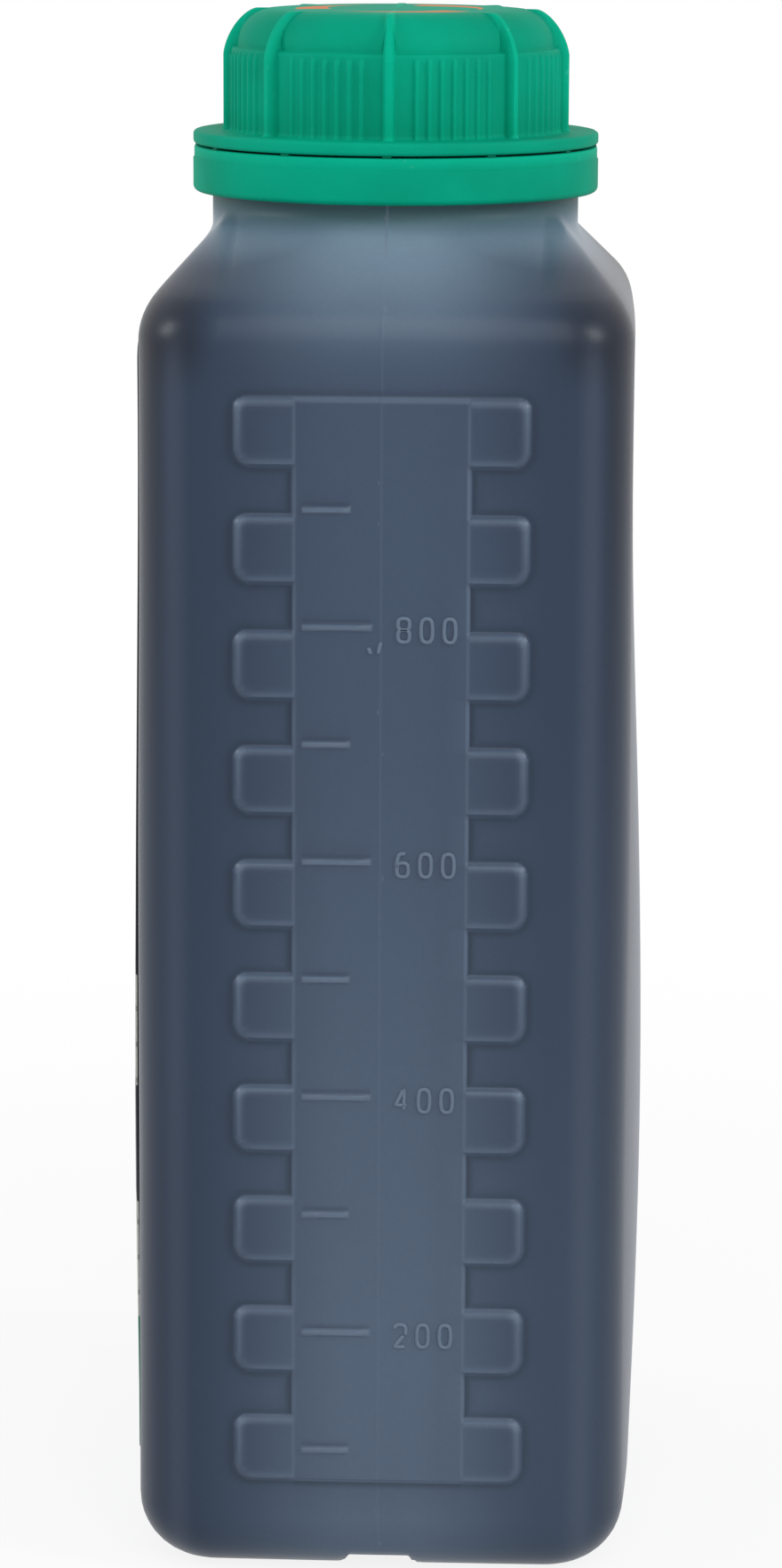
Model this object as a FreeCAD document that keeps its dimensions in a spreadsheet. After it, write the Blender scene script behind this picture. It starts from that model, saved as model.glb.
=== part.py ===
import FreeCAD, Part
import math
import os

import Sketcher

# Graduated one litre oil bottle with a ribbed screw cap, in millimetres.
# Z is up, the base stands on Z = 0, and the graduated face looks along -Y.

doc = FreeCAD.newDocument("oil_bottle")
sheet = doc.addObject("Spreadsheet::Sheet", "sizes")

DRIVING_SIZES = [
    ("foot_width", "74.2", "across the label faces at the foot"),
    ("belly_width", "77.0", "across the label faces where the full bottle bulges most"),
    ("flank_width", "74.6", "across the label faces above the bulge"),
    ("waist_width", "72.2", "across the label faces where the bulge ends"),
    ("shoulder_width", "72.0", "across the label faces below the shoulder"),
    ("body_depth", "83", "from the graduated face to the back"),
    ("belly_height", "62", "height of the widest place"),
    ("flank_height", "117", "height of the flank width"),
    ("waist_height", "152", "height of the waist width"),
    ("foot_crown", "0.6", "how far a label face swells at the foot"),
    ("belly_crown", "2.1", "how far a label face swells at the widest place"),
    ("flank_crown", "1.1", "how far a label face swells above the bulge"),
    ("waist_crown", "0.25", "how far a label face swells where the bulge ends"),
    ("shoulder_crown", "0.2", "how far a label face swells below the shoulder"),
    ("front_crown", "0.15", "how far the graduated face and the back swell"),
    ("corner_radius", "12", "upright corners of the body"),
    ("foot_radius", "9.5", "rounding between the walls and the base"),
    ("wall", "1.3", "blown wall"),
    ("base_wall", "2.4", "thicker floor of the blown body"),
    ("groove_width", "9.7", "flat of the pinch-off groove under the base"),
    ("groove_flare", "2.4", "extra width at each side of the groove mouth"),
    ("groove_depth", "1.1", "depth of the pinch-off groove"),
    ("shoulder_edge", "187.7", "height where wall and slope would meet if sharp"),
    ("shoulder_slope", "47.6", "slope above the label faces, in degrees"),
    ("shoulder_radius", "5.5", "rounding between wall and slope"),
    ("shoulder_rise", "13.2", "from that edge up to where the front slope meets the neck"),
    ("hip_radius", "3", "rounding of the slope's corners at the neck"),
    ("neck_radius", "27.25", "collar below the tamper ring"),
    ("neck_wall", "1.5", "wall of the collar"),
    ("bead_radius", "28.3", "bead that keeps the tamper ring on the neck"),
    ("bead_lift", "2.9", "from the ring's lower edge up to the underside of the bead"),
    ("bead_land", "1.1", "upright edge of the bead"),
    ("ledge_rise", "2.6", "from the bead up to the top of the collar, where the neck steps in"),
    ("finish_radius", "22.0", "plain wall under the neck thread"),
    ("mouth_radius", "18.6", "bore of the mouth"),
    ("mouth_rise", "2.35", "from the shelf of the cap up to the sealing face of the mouth"),
    ("lip_radius", "20.7", "outside of the sealing face"),
    ("lip_height", "2.4", "height of the bevel below the sealing face"),
    ("lip_round", "0.5", "rounding of the sealing face's outer edge"),
    ("ring_radius", "30.15", "outside of the tamper ring and of the cap flange"),
    ("ring_lift", "2.3", "from the shoulder's top up to the lower edge of the tamper ring"),
    ("ring_height", "6.45", "height of the tamper ring"),
    ("ring_round", "0.9", "rounding of the ring's lower edge"),
    ("ring_clearance", "0.35", "air between the ring and the neck"),
    ("hook_height", "2.0", "height of the hook inside the ring"),
    ("bridge_gap", "0.6", "height of the bridges between ring and cap"),
    ("bridge_width", "1.3", "width of one bridge"),
    ("bridge_depth", "0.9", "radial depth of one bridge"),
    ("bridge_count", "12", "bridges round the ring"),
    ("flange_height", "1.9", "height of the cap flange"),
    ("flange_round", "0.55", "rounding of the flange edge"),
    ("skirt_radius", "24.4", "cap skirt between its ridges"),
    ("skirt_wall", "1.1", "wall of the cap skirt"),
    ("skirt_height", "12.3", "height of the ridged skirt above the flange"),
    ("shelf_step", "0.9", "step from the skirt in to the dome"),
    ("dome_radius", "5.2", "rounding of the cap's top edge"),
    ("seat_radius", "21.4", "inside of the cap at its ceiling"),
    ("seat_taper", "5.5", "height over which the cap's bore narrows to its ceiling"),
    ("cap_plate", "1.8", "thickness of the cap's top"),
    ("liner_thickness", "1.4", "sealing wad in the cap"),
    ("liner_clearance", "0.4", "air round the sealing wad"),
    ("rib_radius", "25.7", "outside of the tall ribs"),
    ("rib_width", "2.0", "width of a tall rib"),
    ("rib_round", "6.5", "rounding of a rib towards the top"),
    ("rib_count", "8", "tall ribs round the cap"),
    ("ridge_rise", "0.45", "height of a grip ridge"),
    ("ridge_width", "1.1", "width of a grip ridge"),
    ("ridge_pitch", "4.4", "angle between grip ridges, in degrees"),
    ("ridge_count", "7", "grip ridges between two ribs"),
    ("ladder_drop", "10.9", "from the shoulder's edge down to the highest rung"),
    ("rung_pitch", "16.8", "distance between rungs"),
    ("rung_height", "9.2", "height of a rung"),
    ("rung_width", "41.8", "width of a rung"),
    ("rung_rise", "0.6", "how far a rung stands proud"),
    ("rung_round", "1.4", "upper corners of a rung"),
    ("rung_foot_round", "2.2", "lower corners of a rung"),
    ("rung_count", "10", "rungs on the graduated face"),
    ("column_width", "24.8", "band that carries the graduation"),
    ("column_rise", "0.75", "how far the band stands proud"),
    ("tick_first", "20.5", "height of the lowest mark"),
    ("tick_step", "18.3", "distance between the lowest marks"),
    ("tick_closing", "0.1", "how much the marks close up as the body widens"),
    ("tick_count", "9", "marks, one for each hundred millilitres"),
    ("tick_height", "0.9", "height of a mark"),
    ("tick_margin", "0.9", "distance from the band's edge to the marks"),
    ("tick_long", "10.4", "length of every second mark"),
    ("tick_short", "7.3", "length of the marks between"),
    ("tick_rise", "0.35", "how far a mark stands on the band"),
    ("label_width", "56", "width of the side label"),
    ("label_margin", "4.5", "from the shoulder's edge down to the side label"),
    ("label_height", "168.5", "height of the side label"),
    ("label_thickness", "0.25", "thickness of the side label"),
    ("label_glue", "0.1", "glue under the side label"),
    ("label_round", "3", "corners of the side label"),
    ("oil_gap", "0.1", "parting between the oil and the wall in the model"),
    ("oil_drop", "1", "from the shoulder's edge down to the oil, a little over the one litre mark"),
]

for row, (alias, number, meaning) in enumerate(DRIVING_SIZES, 1):
    sheet.set("A%d" % row, meaning)
    sheet.set("B%d" % row, number)
    sheet.setAlias("B%d" % row, alias)
doc.recompute()


class Size:
    """A size in its two forms: the expression that binds it, and its value now."""

    def __init__(self, text, value):
        self.text = text
        self.value = value

    @staticmethod
    def of(thing):
        return thing if isinstance(thing, Size) else Size(repr(thing), float(thing))

    def __add__(self, other):
        other = Size.of(other)
        return Size("(%s + %s)" % (self.text, other.text), self.value + other.value)

    def __sub__(self, other):
        other = Size.of(other)
        return Size("(%s - %s)" % (self.text, other.text), self.value - other.value)

    def __mul__(self, other):
        other = Size.of(other)
        return Size("(%s * %s)" % (self.text, other.text), self.value * other.value)

    def __truediv__(self, other):
        other = Size.of(other)
        return Size("(%s / %s)" % (self.text, other.text), self.value / other.value)

    def __rsub__(self, other):
        return Size.of(other) - self

    def __rtruediv__(self, other):
        return Size.of(other) / self

    def __neg__(self):
        return Size("(-1 * %s)" % self.text, -self.value)

    __radd__ = __add__
    __rmul__ = __mul__


def sine(angle):
    return Size("sin(%s)" % angle.text, math.sin(math.radians(angle.value)))


def cosine(angle):
    return Size("cos(%s)" % angle.text, math.cos(math.radians(angle.value)))


def tangent(angle):
    return Size("tan(%s)" % angle.text, math.tan(math.radians(angle.value)))


class Sheet:
    """The driving sizes by name, each bound to its cell."""


size = Sheet()
for alias, number, meaning in DRIVING_SIZES:
    setattr(size, alias, Size("sizes." + alias, float(getattr(sheet, alias))))

# Heights, stacked from the shoulder's edge upwards and downwards
SHOULDER_TOP = size.shoulder_edge + size.shoulder_rise
LADDER_TOP = size.shoulder_edge - size.ladder_drop
LABEL_TOP = size.shoulder_edge - size.label_margin
OIL_LEVEL = size.shoulder_edge - size.oil_drop
RING_FOOT = SHOULDER_TOP + size.ring_lift
RING_TOP = RING_FOOT + size.ring_height
BEAD = RING_FOOT + size.bead_lift
LEDGE = BEAD + size.ledge_rise
FLANGE_FOOT = RING_TOP + size.bridge_gap
FLANGE_TOP = FLANGE_FOOT + size.flange_height
SHELF = FLANGE_TOP + size.skirt_height
MOUTH = SHELF + size.mouth_rise
CEILING = MOUTH + size.liner_thickness
CAP_TOP = CEILING + size.cap_plate
CAP_BORE = size.skirt_radius - size.skirt_wall
TAPER_FOOT = CEILING - size.seat_taper
FRONT = size.body_depth / 2


# Sketch helpers

def bound(sketch, constraint, dimension):
    """Add a dimensional constraint and bind it to a size."""
    index = sketch.addConstraint(Sketcher.Constraint(*constraint, dimension.value))
    sketch.setExpression("Constraints[%d]" % index, dimension.text)


def origin_feature(body, role):
    return [feature for feature in body.Origin.OriginFeatures if feature.Role == role][0]


def new_sketch(body, name, role, lift=None):
    """A sketch on one of the body's own planes, lifted along the plane's normal."""
    sketch = body.newObject("Sketcher::SketchObject", name)
    sketch.AttachmentSupport = [(origin_feature(body, role), "")]
    sketch.MapMode = "FlatFace"
    if lift is not None:
        sketch.setExpression("AttachmentOffset.Base.z", lift.text)
    return sketch


def add_line(sketch, start, end):
    first = FreeCAD.Vector(start[0], start[1], 0)
    second = FreeCAD.Vector(end[0], end[1], 0)
    return sketch.addGeometry(Part.LineSegment(first, second), False)


def add_arc(sketch, centre, radius, start, end):
    """An arc between two angles in radians, counter-clockwise."""
    circle = Part.Circle(FreeCAD.Vector(centre[0], centre[1], 0), FreeCAD.Vector(0, 0, 1), radius)
    return sketch.addGeometry(Part.ArcOfCircle(circle, start, end), False)


def add_outline(sketch, points):
    """A closed outline of straight lines through bound points; None puts a point on the upright axis."""
    places = [(0.0 if x is None else x.value, z.value) for x, z in points]
    lines = [add_line(sketch, here, there) for here, there in zip(places, places[1:] + places[:1])]
    for line, following in zip(lines, lines[1:] + lines[:1]):
        sketch.addConstraint(Sketcher.Constraint("Coincident", line, 2, following, 1))
    for line, (x, z) in zip(lines, points):
        if x is None:
            sketch.addConstraint(Sketcher.Constraint("PointOnObject", line, 1, -2))
        else:
            bound(sketch, ("DistanceX", -1, 1, line, 1), x)
        bound(sketch, ("DistanceY", -1, 1, line, 1), z)


def add_rectangle(sketch, left, right, bottom, top):
    add_outline(sketch, [(left, bottom), (right, bottom), (right, top), (left, top)])


def add_round_rectangle(sketch, half_width, bottom, top, foot_round, top_round):
    """A rectangle centred on the upright axis, its lower and upper corners rounded apart."""
    side, low, high = half_width.value, bottom.value, top.value
    foot, head = foot_round.value, top_round.value
    quarter = math.pi / 2
    edges = [
        add_line(sketch, (-side + foot, low), (side - foot, low)),
        add_arc(sketch, (side - foot, low + foot), foot, -quarter, 0),
        add_line(sketch, (side, low + foot), (side, high - head)),
        add_arc(sketch, (side - head, high - head), head, 0, quarter),
        add_line(sketch, (side - head, high), (-side + head, high)),
        add_arc(sketch, (-side + head, high - head), head, quarter, 2 * quarter),
        add_line(sketch, (-side, high - head), (-side, low + foot)),
        add_arc(sketch, (-side + foot, low + foot), foot, 2 * quarter, 3 * quarter),
    ]
    for edge, following in zip(edges, edges[1:] + edges[:1]):
        sketch.addConstraint(Sketcher.Constraint("Tangent", edge, 2, following, 1))
    for edge, way in zip(edges[::2], ("Horizontal", "Vertical", "Horizontal", "Vertical")):
        sketch.addConstraint(Sketcher.Constraint(way, edge))
    for edge, rounding in zip(edges[1::2], (foot_round, top_round, top_round, foot_round)):
        bound(sketch, ("Radius", edge), rounding)
    bound(sketch, ("DistanceY", -1, 1, edges[0], 1), bottom)
    bound(sketch, ("DistanceX", -1, 1, edges[2], 1), half_width)
    bound(sketch, ("DistanceY", -1, 1, edges[4], 1), top)
    bound(sketch, ("DistanceX", -1, 1, edges[6], 1), -half_width)


def corner_centre(side_centre, side_radius, front_centre, front_radius, corner):
    """Centre of the corner circle that touches both swelled sides from inside."""
    reach_side = side_radius - corner
    reach_front = front_radius - corner
    apart = math.hypot(side_centre, front_centre)
    along = (reach_side ** 2 - reach_front ** 2 + apart ** 2) / (2 * apart)
    across = math.sqrt(reach_side ** 2 - along ** 2)
    step_x = -side_centre / apart
    step_y = front_centre / apart
    foot_x = side_centre + step_x * along
    foot_y = step_y * along
    choices = [(foot_x - step_y * turn, foot_y + step_x * turn) for turn in (across, -across)]
    return max(choices, key=sum)


def add_cushion(sketch, half_width, half_depth, side_radius, front_radius, corner):
    """A rounded rectangle whose four sides swell in flat arcs, all eight arcs tangent."""
    side_centre = half_width - side_radius
    front_centre = half_depth - front_radius
    x, y = corner_centre(side_centre.value, side_radius.value,
                         front_centre.value, front_radius.value, corner.value)
    low = math.atan2(y, x - side_centre.value)
    high = math.atan2(y - front_centre.value, x)
    half_turn = math.pi
    edges = [
        add_arc(sketch, (side_centre.value, 0), side_radius.value, -low, low),
        add_arc(sketch, (x, y), corner.value, low, high),
        add_arc(sketch, (0, front_centre.value), front_radius.value, high, half_turn - high),
        add_arc(sketch, (-x, y), corner.value, half_turn - high, half_turn - low),
        add_arc(sketch, (-side_centre.value, 0), side_radius.value, half_turn - low, half_turn + low),
        add_arc(sketch, (-x, -y), corner.value, half_turn + low, half_turn + high),
        add_arc(sketch, (0, -front_centre.value), front_radius.value, half_turn + high, 2 * half_turn - high),
        add_arc(sketch, (x, -y), corner.value, 2 * half_turn - high, 2 * half_turn - low),
    ]
    for edge, following in zip(edges, edges[1:] + edges[:1]):
        sketch.addConstraint(Sketcher.Constraint("Tangent", edge, 2, following, 1))
    for edge, radius in zip(edges, (side_radius, corner, front_radius, corner) * 2):
        bound(sketch, ("Radius", edge), radius)
    for edge, axis, way, place in ((edges[0], -1, "DistanceX", side_centre),
                                   (edges[2], -2, "DistanceY", front_centre),
                                   (edges[4], -1, "DistanceX", -side_centre),
                                   (edges[6], -2, "DistanceY", -front_centre)):
        sketch.addConstraint(Sketcher.Constraint("PointOnObject", edge, 3, axis))
        bound(sketch, (way, -1, 1, edge, 3), place)


# Feature helpers

def new_body(name):
    return doc.addObject("PartDesign::Body", name)


def add_loft(body, name, sections, ruled):
    loft = body.newObject("PartDesign::AdditiveLoft", name)
    loft.Profile = sections[0]
    loft.Sections = sections[1:]
    loft.Ruled = ruled
    doc.recompute()
    return loft


def add_revolution(body, name, sketch):
    turned = body.newObject("PartDesign::Revolution", name)
    turned.Profile = sketch
    turned.ReferenceAxis = (sketch, ["V_Axis"])
    turned.Angle = 360
    doc.recompute()
    return turned


def add_pad(body, name, sketch, length, midplane=False):
    pad = body.newObject("PartDesign::Pad", name)
    pad.Profile = sketch
    pad.setExpression("Length", length.text)
    pad.Midplane = midplane
    doc.recompute()
    return pad


def edges_where(feature, wanted):
    """Names of the feature's edges whose bounding box passes the test."""
    return ["Edge%d" % number for number, edge in enumerate(feature.Shape.Edges, 1) if wanted(edge.BoundBox)]


def is_ring(box, radius, height):
    """Whether a bounding box is that of a full circle about the Z axis."""
    level = abs(box.ZMin - height.value) < 1e-4 and abs(box.ZMax - height.value) < 1e-4
    return level and abs(box.XMax - radius.value) < 1e-3 and abs(box.XMin + radius.value) < 1e-3


def add_fillet(body, name, base, edges, radius):
    fillet = body.newObject("PartDesign::Fillet", name)
    fillet.Base = (base, edges)
    fillet.setExpression("Radius", radius.text)
    doc.recompute()
    return fillet


def add_polar_pattern(body, name, feature, angle, count):
    """Repeat a feature round the Z axis."""
    pattern = body.newObject("PartDesign::PolarPattern", name)
    pattern.Originals = [feature]
    pattern.Axis = (origin_feature(body, "Z_Axis"), [""])
    pattern.setExpression("Angle", angle.text)
    pattern.setExpression("Occurrences", count.text)
    body.Tip = pattern
    doc.recompute()
    return pattern


def name_part(feature, label):
    feature.Label = label
    return feature


# Blown body: crowned walls, rounded shoulder and slopes that end at the neck

SHOULDER_STEPS = 4
SLOPE_OVERRUN = 1.04


def swell_radius(chord, crown):
    return chord * chord / (2 * crown)


def wall_section(body, name, lift, half_width, crown, inset):
    """Section of the upright walls, moved inwards by the inset."""
    sketch = new_sketch(body, name, "XY_Plane", lift)
    side_radius = swell_radius(FRONT - size.corner_radius, crown)
    front_radius = swell_radius(size.shoulder_width / 2 - size.corner_radius, size.front_crown)
    add_cushion(sketch, half_width - inset, FRONT - inset, side_radius - inset,
                front_radius - inset, size.corner_radius - inset)
    return sketch


def shoulder_section(body, name, lift, run, inset):
    """Section of the shoulder after a run inwards; its front bends from flat to the neck's curve."""
    full_run = size.shoulder_rise / tangent(size.shoulder_slope)
    share = run / full_run
    half_width = size.shoulder_width / 2 - run
    half_depth = FRONT - (FRONT - size.neck_radius) * share
    corner = size.corner_radius - (size.corner_radius - size.hip_radius) * share
    side_radius = swell_radius(FRONT - size.corner_radius, size.shoulder_crown)
    flat_radius = swell_radius(size.shoulder_width / 2 - size.corner_radius, size.front_crown)
    front_radius = 1 / (1 / flat_radius + (1 / size.neck_radius - 1 / flat_radius) * share * share)
    sketch = new_sketch(body, name, "XY_Plane", lift)
    add_cushion(sketch, half_width - inset, half_depth - inset, side_radius - inset,
                front_radius - inset, corner - inset)
    return sketch


def add_walls(body, foot, inset):
    """Upright walls from the foot to the shoulder rounding; returns the height they reach."""
    turn = 90 - size.shoulder_slope
    edge = size.shoulder_edge - inset * (1 - sine(size.shoulder_slope)) / cosine(size.shoulder_slope)
    top = edge - (size.shoulder_radius - inset) * tangent(turn / 2)
    stations = [
        ("foot", foot, size.foot_width, size.foot_crown),
        ("belly", size.belly_height, size.belly_width, size.belly_crown),
        ("flank", size.flank_height, size.flank_width, size.flank_crown),
        ("waist", size.waist_height, size.waist_width, size.waist_crown),
        ("top", top, size.shoulder_width, size.shoulder_crown),
    ]
    sections = [wall_section(body, "%s_%s" % (body.Name, name), lift, width / 2, crown, inset)
                for name, lift, width, crown in stations]
    add_loft(body, body.Name + "_walls", sections, False)
    return top


def add_shoulder(body, top, inset):
    """Rounded shoulder above the walls, then straight slopes that run on into the neck."""
    turn = 90 - size.shoulder_slope
    radius = size.shoulder_radius - inset
    sections = []
    for step in range(SHOULDER_STEPS + 1):
        angle = turn * (step / SHOULDER_STEPS)
        run = radius * (1 - cosine(angle))
        lift = top + radius * sine(angle)
        sections.append(shoulder_section(body, "%s_round_%d" % (body.Name, step), lift, run, inset))
    add_loft(body, body.Name + "_shoulder", sections, False)
    last_run = size.shoulder_rise / tangent(size.shoulder_slope) * SLOPE_OVERRUN
    rise = (last_run - run) * tangent(size.shoulder_slope)
    slope = [
        shoulder_section(body, body.Name + "_slope_foot", lift, run, inset),
        shoulder_section(body, body.Name + "_slope_head", lift + rise, last_run, inset),
    ]
    return add_loft(body, body.Name + "_slopes", slope, True)


def make_vessel(name, foot, inset):
    """The blown form, moved inwards by the inset, without its neck."""
    body = new_body(name)
    top = add_walls(body, foot, inset)
    slopes = add_shoulder(body, top, inset)
    level = foot.value
    rim = edges_where(slopes, lambda box: max(abs(box.ZMin - level), abs(box.ZMax - level)) < 1e-4)
    add_fillet(body, name + "_foot_round", slopes, rim, size.foot_radius - inset)
    return body


def add_neck(body):
    """Collar with the ring's bead, ledge and plain finish, up to the sealing face."""
    sketch = new_sketch(body, "neck_outline", "XZ_Plane")
    add_outline(sketch, [
        (None, size.shoulder_edge),
        (size.neck_radius, size.shoulder_edge),
        (size.neck_radius, BEAD),
        (size.bead_radius, BEAD),
        (size.bead_radius, BEAD + size.bead_land),
        (size.neck_radius - size.neck_wall, LEDGE),
        (size.finish_radius, LEDGE),
        (size.finish_radius, MOUTH - size.lip_height),
        (size.lip_radius, MOUTH),
        (None, MOUTH),
    ])
    neck = add_revolution(body, "neck", sketch)
    lip = edges_where(neck, lambda box: is_ring(box, size.lip_radius, MOUTH))
    return add_fillet(body, "mouth_edge", neck, lip, size.lip_round)


def add_bore(body):
    """Inside of the neck: wide in the collar, stepping in to the mouth and out through it."""
    step = LEDGE - BEAD
    sketch = new_sketch(body, "bore_outline", "XZ_Plane")
    add_outline(sketch, [
        (None, size.shoulder_edge),
        (size.neck_radius - size.neck_wall, size.shoulder_edge),
        (size.neck_radius - size.neck_wall, BEAD - size.neck_wall / 2),
        (size.mouth_radius, BEAD + step / 2),
        (size.mouth_radius, MOUTH + size.neck_wall),
        (None, MOUTH + size.neck_wall),
    ])
    return add_revolution(body, "bore", sketch)


def add_base_groove(body):
    """Pinch-off groove under the base, along the parting plane of the mould."""
    half = size.groove_width / 2
    sketch = new_sketch(body, "groove_outline", "XZ_Plane")
    below = -size.groove_depth
    add_outline(sketch, [
        (-half, size.groove_depth),
        (-half - size.groove_flare * 2, below),
        (half + size.groove_flare * 2, below),
        (half, size.groove_depth),
    ])
    groove = body.newObject("PartDesign::Pocket", "base_groove")
    groove.Profile = sketch
    groove.Type = "ThroughAll"
    groove.Midplane = True
    doc.recompute()
    return groove


def add_graduation(body):
    """Ladder of rungs, the band down its middle and the marks on the band."""
    root = FRONT - size.wall / 2
    rung = new_sketch(body, "rung_outline", "XZ_Plane", root)
    add_round_rectangle(rung, size.rung_width / 2, LADDER_TOP - size.rung_height, LADDER_TOP,
                        size.rung_foot_round, size.rung_round)
    first_rung = add_pad(body, "rung", rung, size.rung_rise + size.wall / 2)
    ladder = body.newObject("PartDesign::LinearPattern", "ladder")
    ladder.Originals = [first_rung]
    ladder.Direction = (origin_feature(body, "Z_Axis"), [""])
    ladder.Reversed = True
    ladder.setExpression("Length", (size.rung_pitch * (size.rung_count - 1)).text)
    ladder.setExpression("Occurrences", size.rung_count.text)
    body.Tip = ladder
    doc.recompute()

    half = size.column_width / 2
    ladder_foot = LADDER_TOP - size.rung_pitch * (size.rung_count - 1) - size.rung_height
    column = new_sketch(body, "column_outline", "XZ_Plane", root)
    add_rectangle(column, -half, half, ladder_foot, LADDER_TOP)
    add_pad(body, "column", column, size.column_rise + size.wall / 2)

    marks = new_sketch(body, "mark_outlines", "XZ_Plane", root)
    left = size.tick_margin - half
    for mark in range(int(size.tick_count.value)):
        middle = size.tick_first + size.tick_step * mark - size.tick_closing * mark * mark
        length = size.tick_long if mark % 2 else size.tick_short
        half_mark = size.tick_height / 2
        add_rectangle(marks, left, left + length, middle - half_mark, middle + half_mark)
    return add_pad(body, "marks", marks, size.column_rise + size.tick_rise + size.wall / 2)


def make_bottle_body():
    """Outer form less the cavity."""
    ground = Size("0", 0.0)
    outer = make_vessel("outer_form", ground, ground)
    add_neck(outer)
    add_base_groove(outer)
    add_graduation(outer)
    cavity = make_vessel("cavity", size.base_wall, size.wall)
    add_bore(cavity)
    bottle = doc.addObject("Part::Cut", "bottle")
    bottle.Base = outer
    bottle.Tool = cavity
    doc.recompute()
    return name_part(bottle, "bottle_body")


def make_oil():
    """Oil up to its level, just clear of the wall."""
    inset = size.wall + size.oil_gap
    form = make_vessel("oil_form", size.base_wall + size.oil_gap, inset)
    reach = size.body_depth
    box = doc.addObject("Part::Box", "air")
    box.setExpression("Length", (reach * 2).text)
    box.setExpression("Width", (reach * 2).text)
    box.setExpression("Height", size.shoulder_edge.text)
    box.setExpression("Placement.Base.x", (-reach).text)
    box.setExpression("Placement.Base.y", (-reach).text)
    box.setExpression("Placement.Base.z", OIL_LEVEL.text)
    oil = doc.addObject("Part::Cut", "oil")
    oil.Base = form
    oil.Tool = box
    doc.recompute()
    return name_part(oil, "oil_fill")


def make_label():
    """Film that follows the crowned label face: a thin shell of the wall, cut to its outline."""
    ground = Size("0", 0.0)
    inside = new_body("label_inside")
    add_walls(inside, ground, -size.label_glue)
    outside = new_body("label_outside")
    add_walls(outside, ground, -size.label_glue - size.label_thickness)
    shell = doc.addObject("Part::Cut", "label_shell")
    shell.Base = outside
    shell.Tool = inside
    window = new_body("label_window")
    outline = new_sketch(window, "label_outline", "YZ_Plane")
    add_round_rectangle(outline, size.label_width / 2, LABEL_TOP - size.label_height, LABEL_TOP,
                        size.label_round, size.label_round)
    pad = add_pad(window, "label_reach", outline, size.belly_width)
    pad.Reversed = True
    label = doc.addObject("Part::Common", "label")
    label.Base = shell
    label.Tool = window
    doc.recompute()
    return name_part(label, "side_label")


# Closure: screw cap, sealing wad, tamper ring and its bridges

def make_cap():
    """Ribbed screw cap with a flange at its foot and a domed edge at its top."""
    body = new_body("cap")
    dome = size.skirt_radius - size.shelf_step
    sketch = new_sketch(body, "cap_outline", "XZ_Plane")
    add_outline(sketch, [
        (CAP_BORE, FLANGE_FOOT),
        (size.ring_radius, FLANGE_FOOT),
        (size.ring_radius, FLANGE_TOP),
        (size.skirt_radius, FLANGE_TOP),
        (size.skirt_radius, SHELF),
        (dome, SHELF),
        (dome, CAP_TOP),
        (None, CAP_TOP),
        (None, CEILING),
        (size.seat_radius, CEILING),
        (CAP_BORE, TAPER_FOOT),
    ])
    shell = add_revolution(body, "cap_shell", sketch)
    crown = edges_where(shell, lambda box: is_ring(box, dome, CAP_TOP))
    domed = add_fillet(body, "cap_dome", shell, crown, size.dome_radius)
    brim = edges_where(domed, lambda box: is_ring(box, size.ring_radius, FLANGE_FOOT)
                       or is_ring(box, size.ring_radius, FLANGE_TOP))
    add_fillet(body, "flange_edge", domed, brim, size.flange_round)
    add_ridges(body)
    add_ribs(body)
    return name_part(body, "screw_cap")


def add_ridges(body):
    """Fine grip ridges, a group between each two ribs."""
    sector = 360 / size.rib_count
    start = (sector - size.ridge_pitch * (size.ridge_count - 1)) / 2
    sketch = new_sketch(body, "ridge_outline", "XY_Plane", FLANGE_TOP)
    root = size.skirt_radius - size.skirt_wall / 2
    crest = size.skirt_radius + size.ridge_rise
    half_root = size.ridge_width / 2
    half_crest = size.ridge_width / 5

    def turned(radius, across):
        x = radius * cosine(start) - across * sine(start)
        y = radius * sine(start) + across * cosine(start)
        return x, y

    add_outline(sketch, [
        turned(root, -half_root),
        turned(size.skirt_radius, -half_root),
        turned(crest, -half_crest),
        turned(crest, half_crest),
        turned(size.skirt_radius, half_root),
        turned(root, half_root),
    ])
    ridge = add_pad(body, "ridge", sketch, size.skirt_height)
    group = body.newObject("PartDesign::MultiTransform", "ridges")
    group.Originals = [ridge]
    steps = []
    for name, angle, count in (("ridge_group", size.ridge_pitch * (size.ridge_count - 1), size.ridge_count),
                               ("ridge_sectors", Size("360", 360.0), size.rib_count)):
        step = body.newObject("PartDesign::PolarPattern", name)
        step.Axis = (origin_feature(body, "Z_Axis"), [""])
        step.setExpression("Angle", angle.text)
        step.setExpression("Occurrences", count.text)
        steps.append(step)
    group.Transformations = steps
    body.Tip = group
    doc.recompute()
    return group


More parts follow.
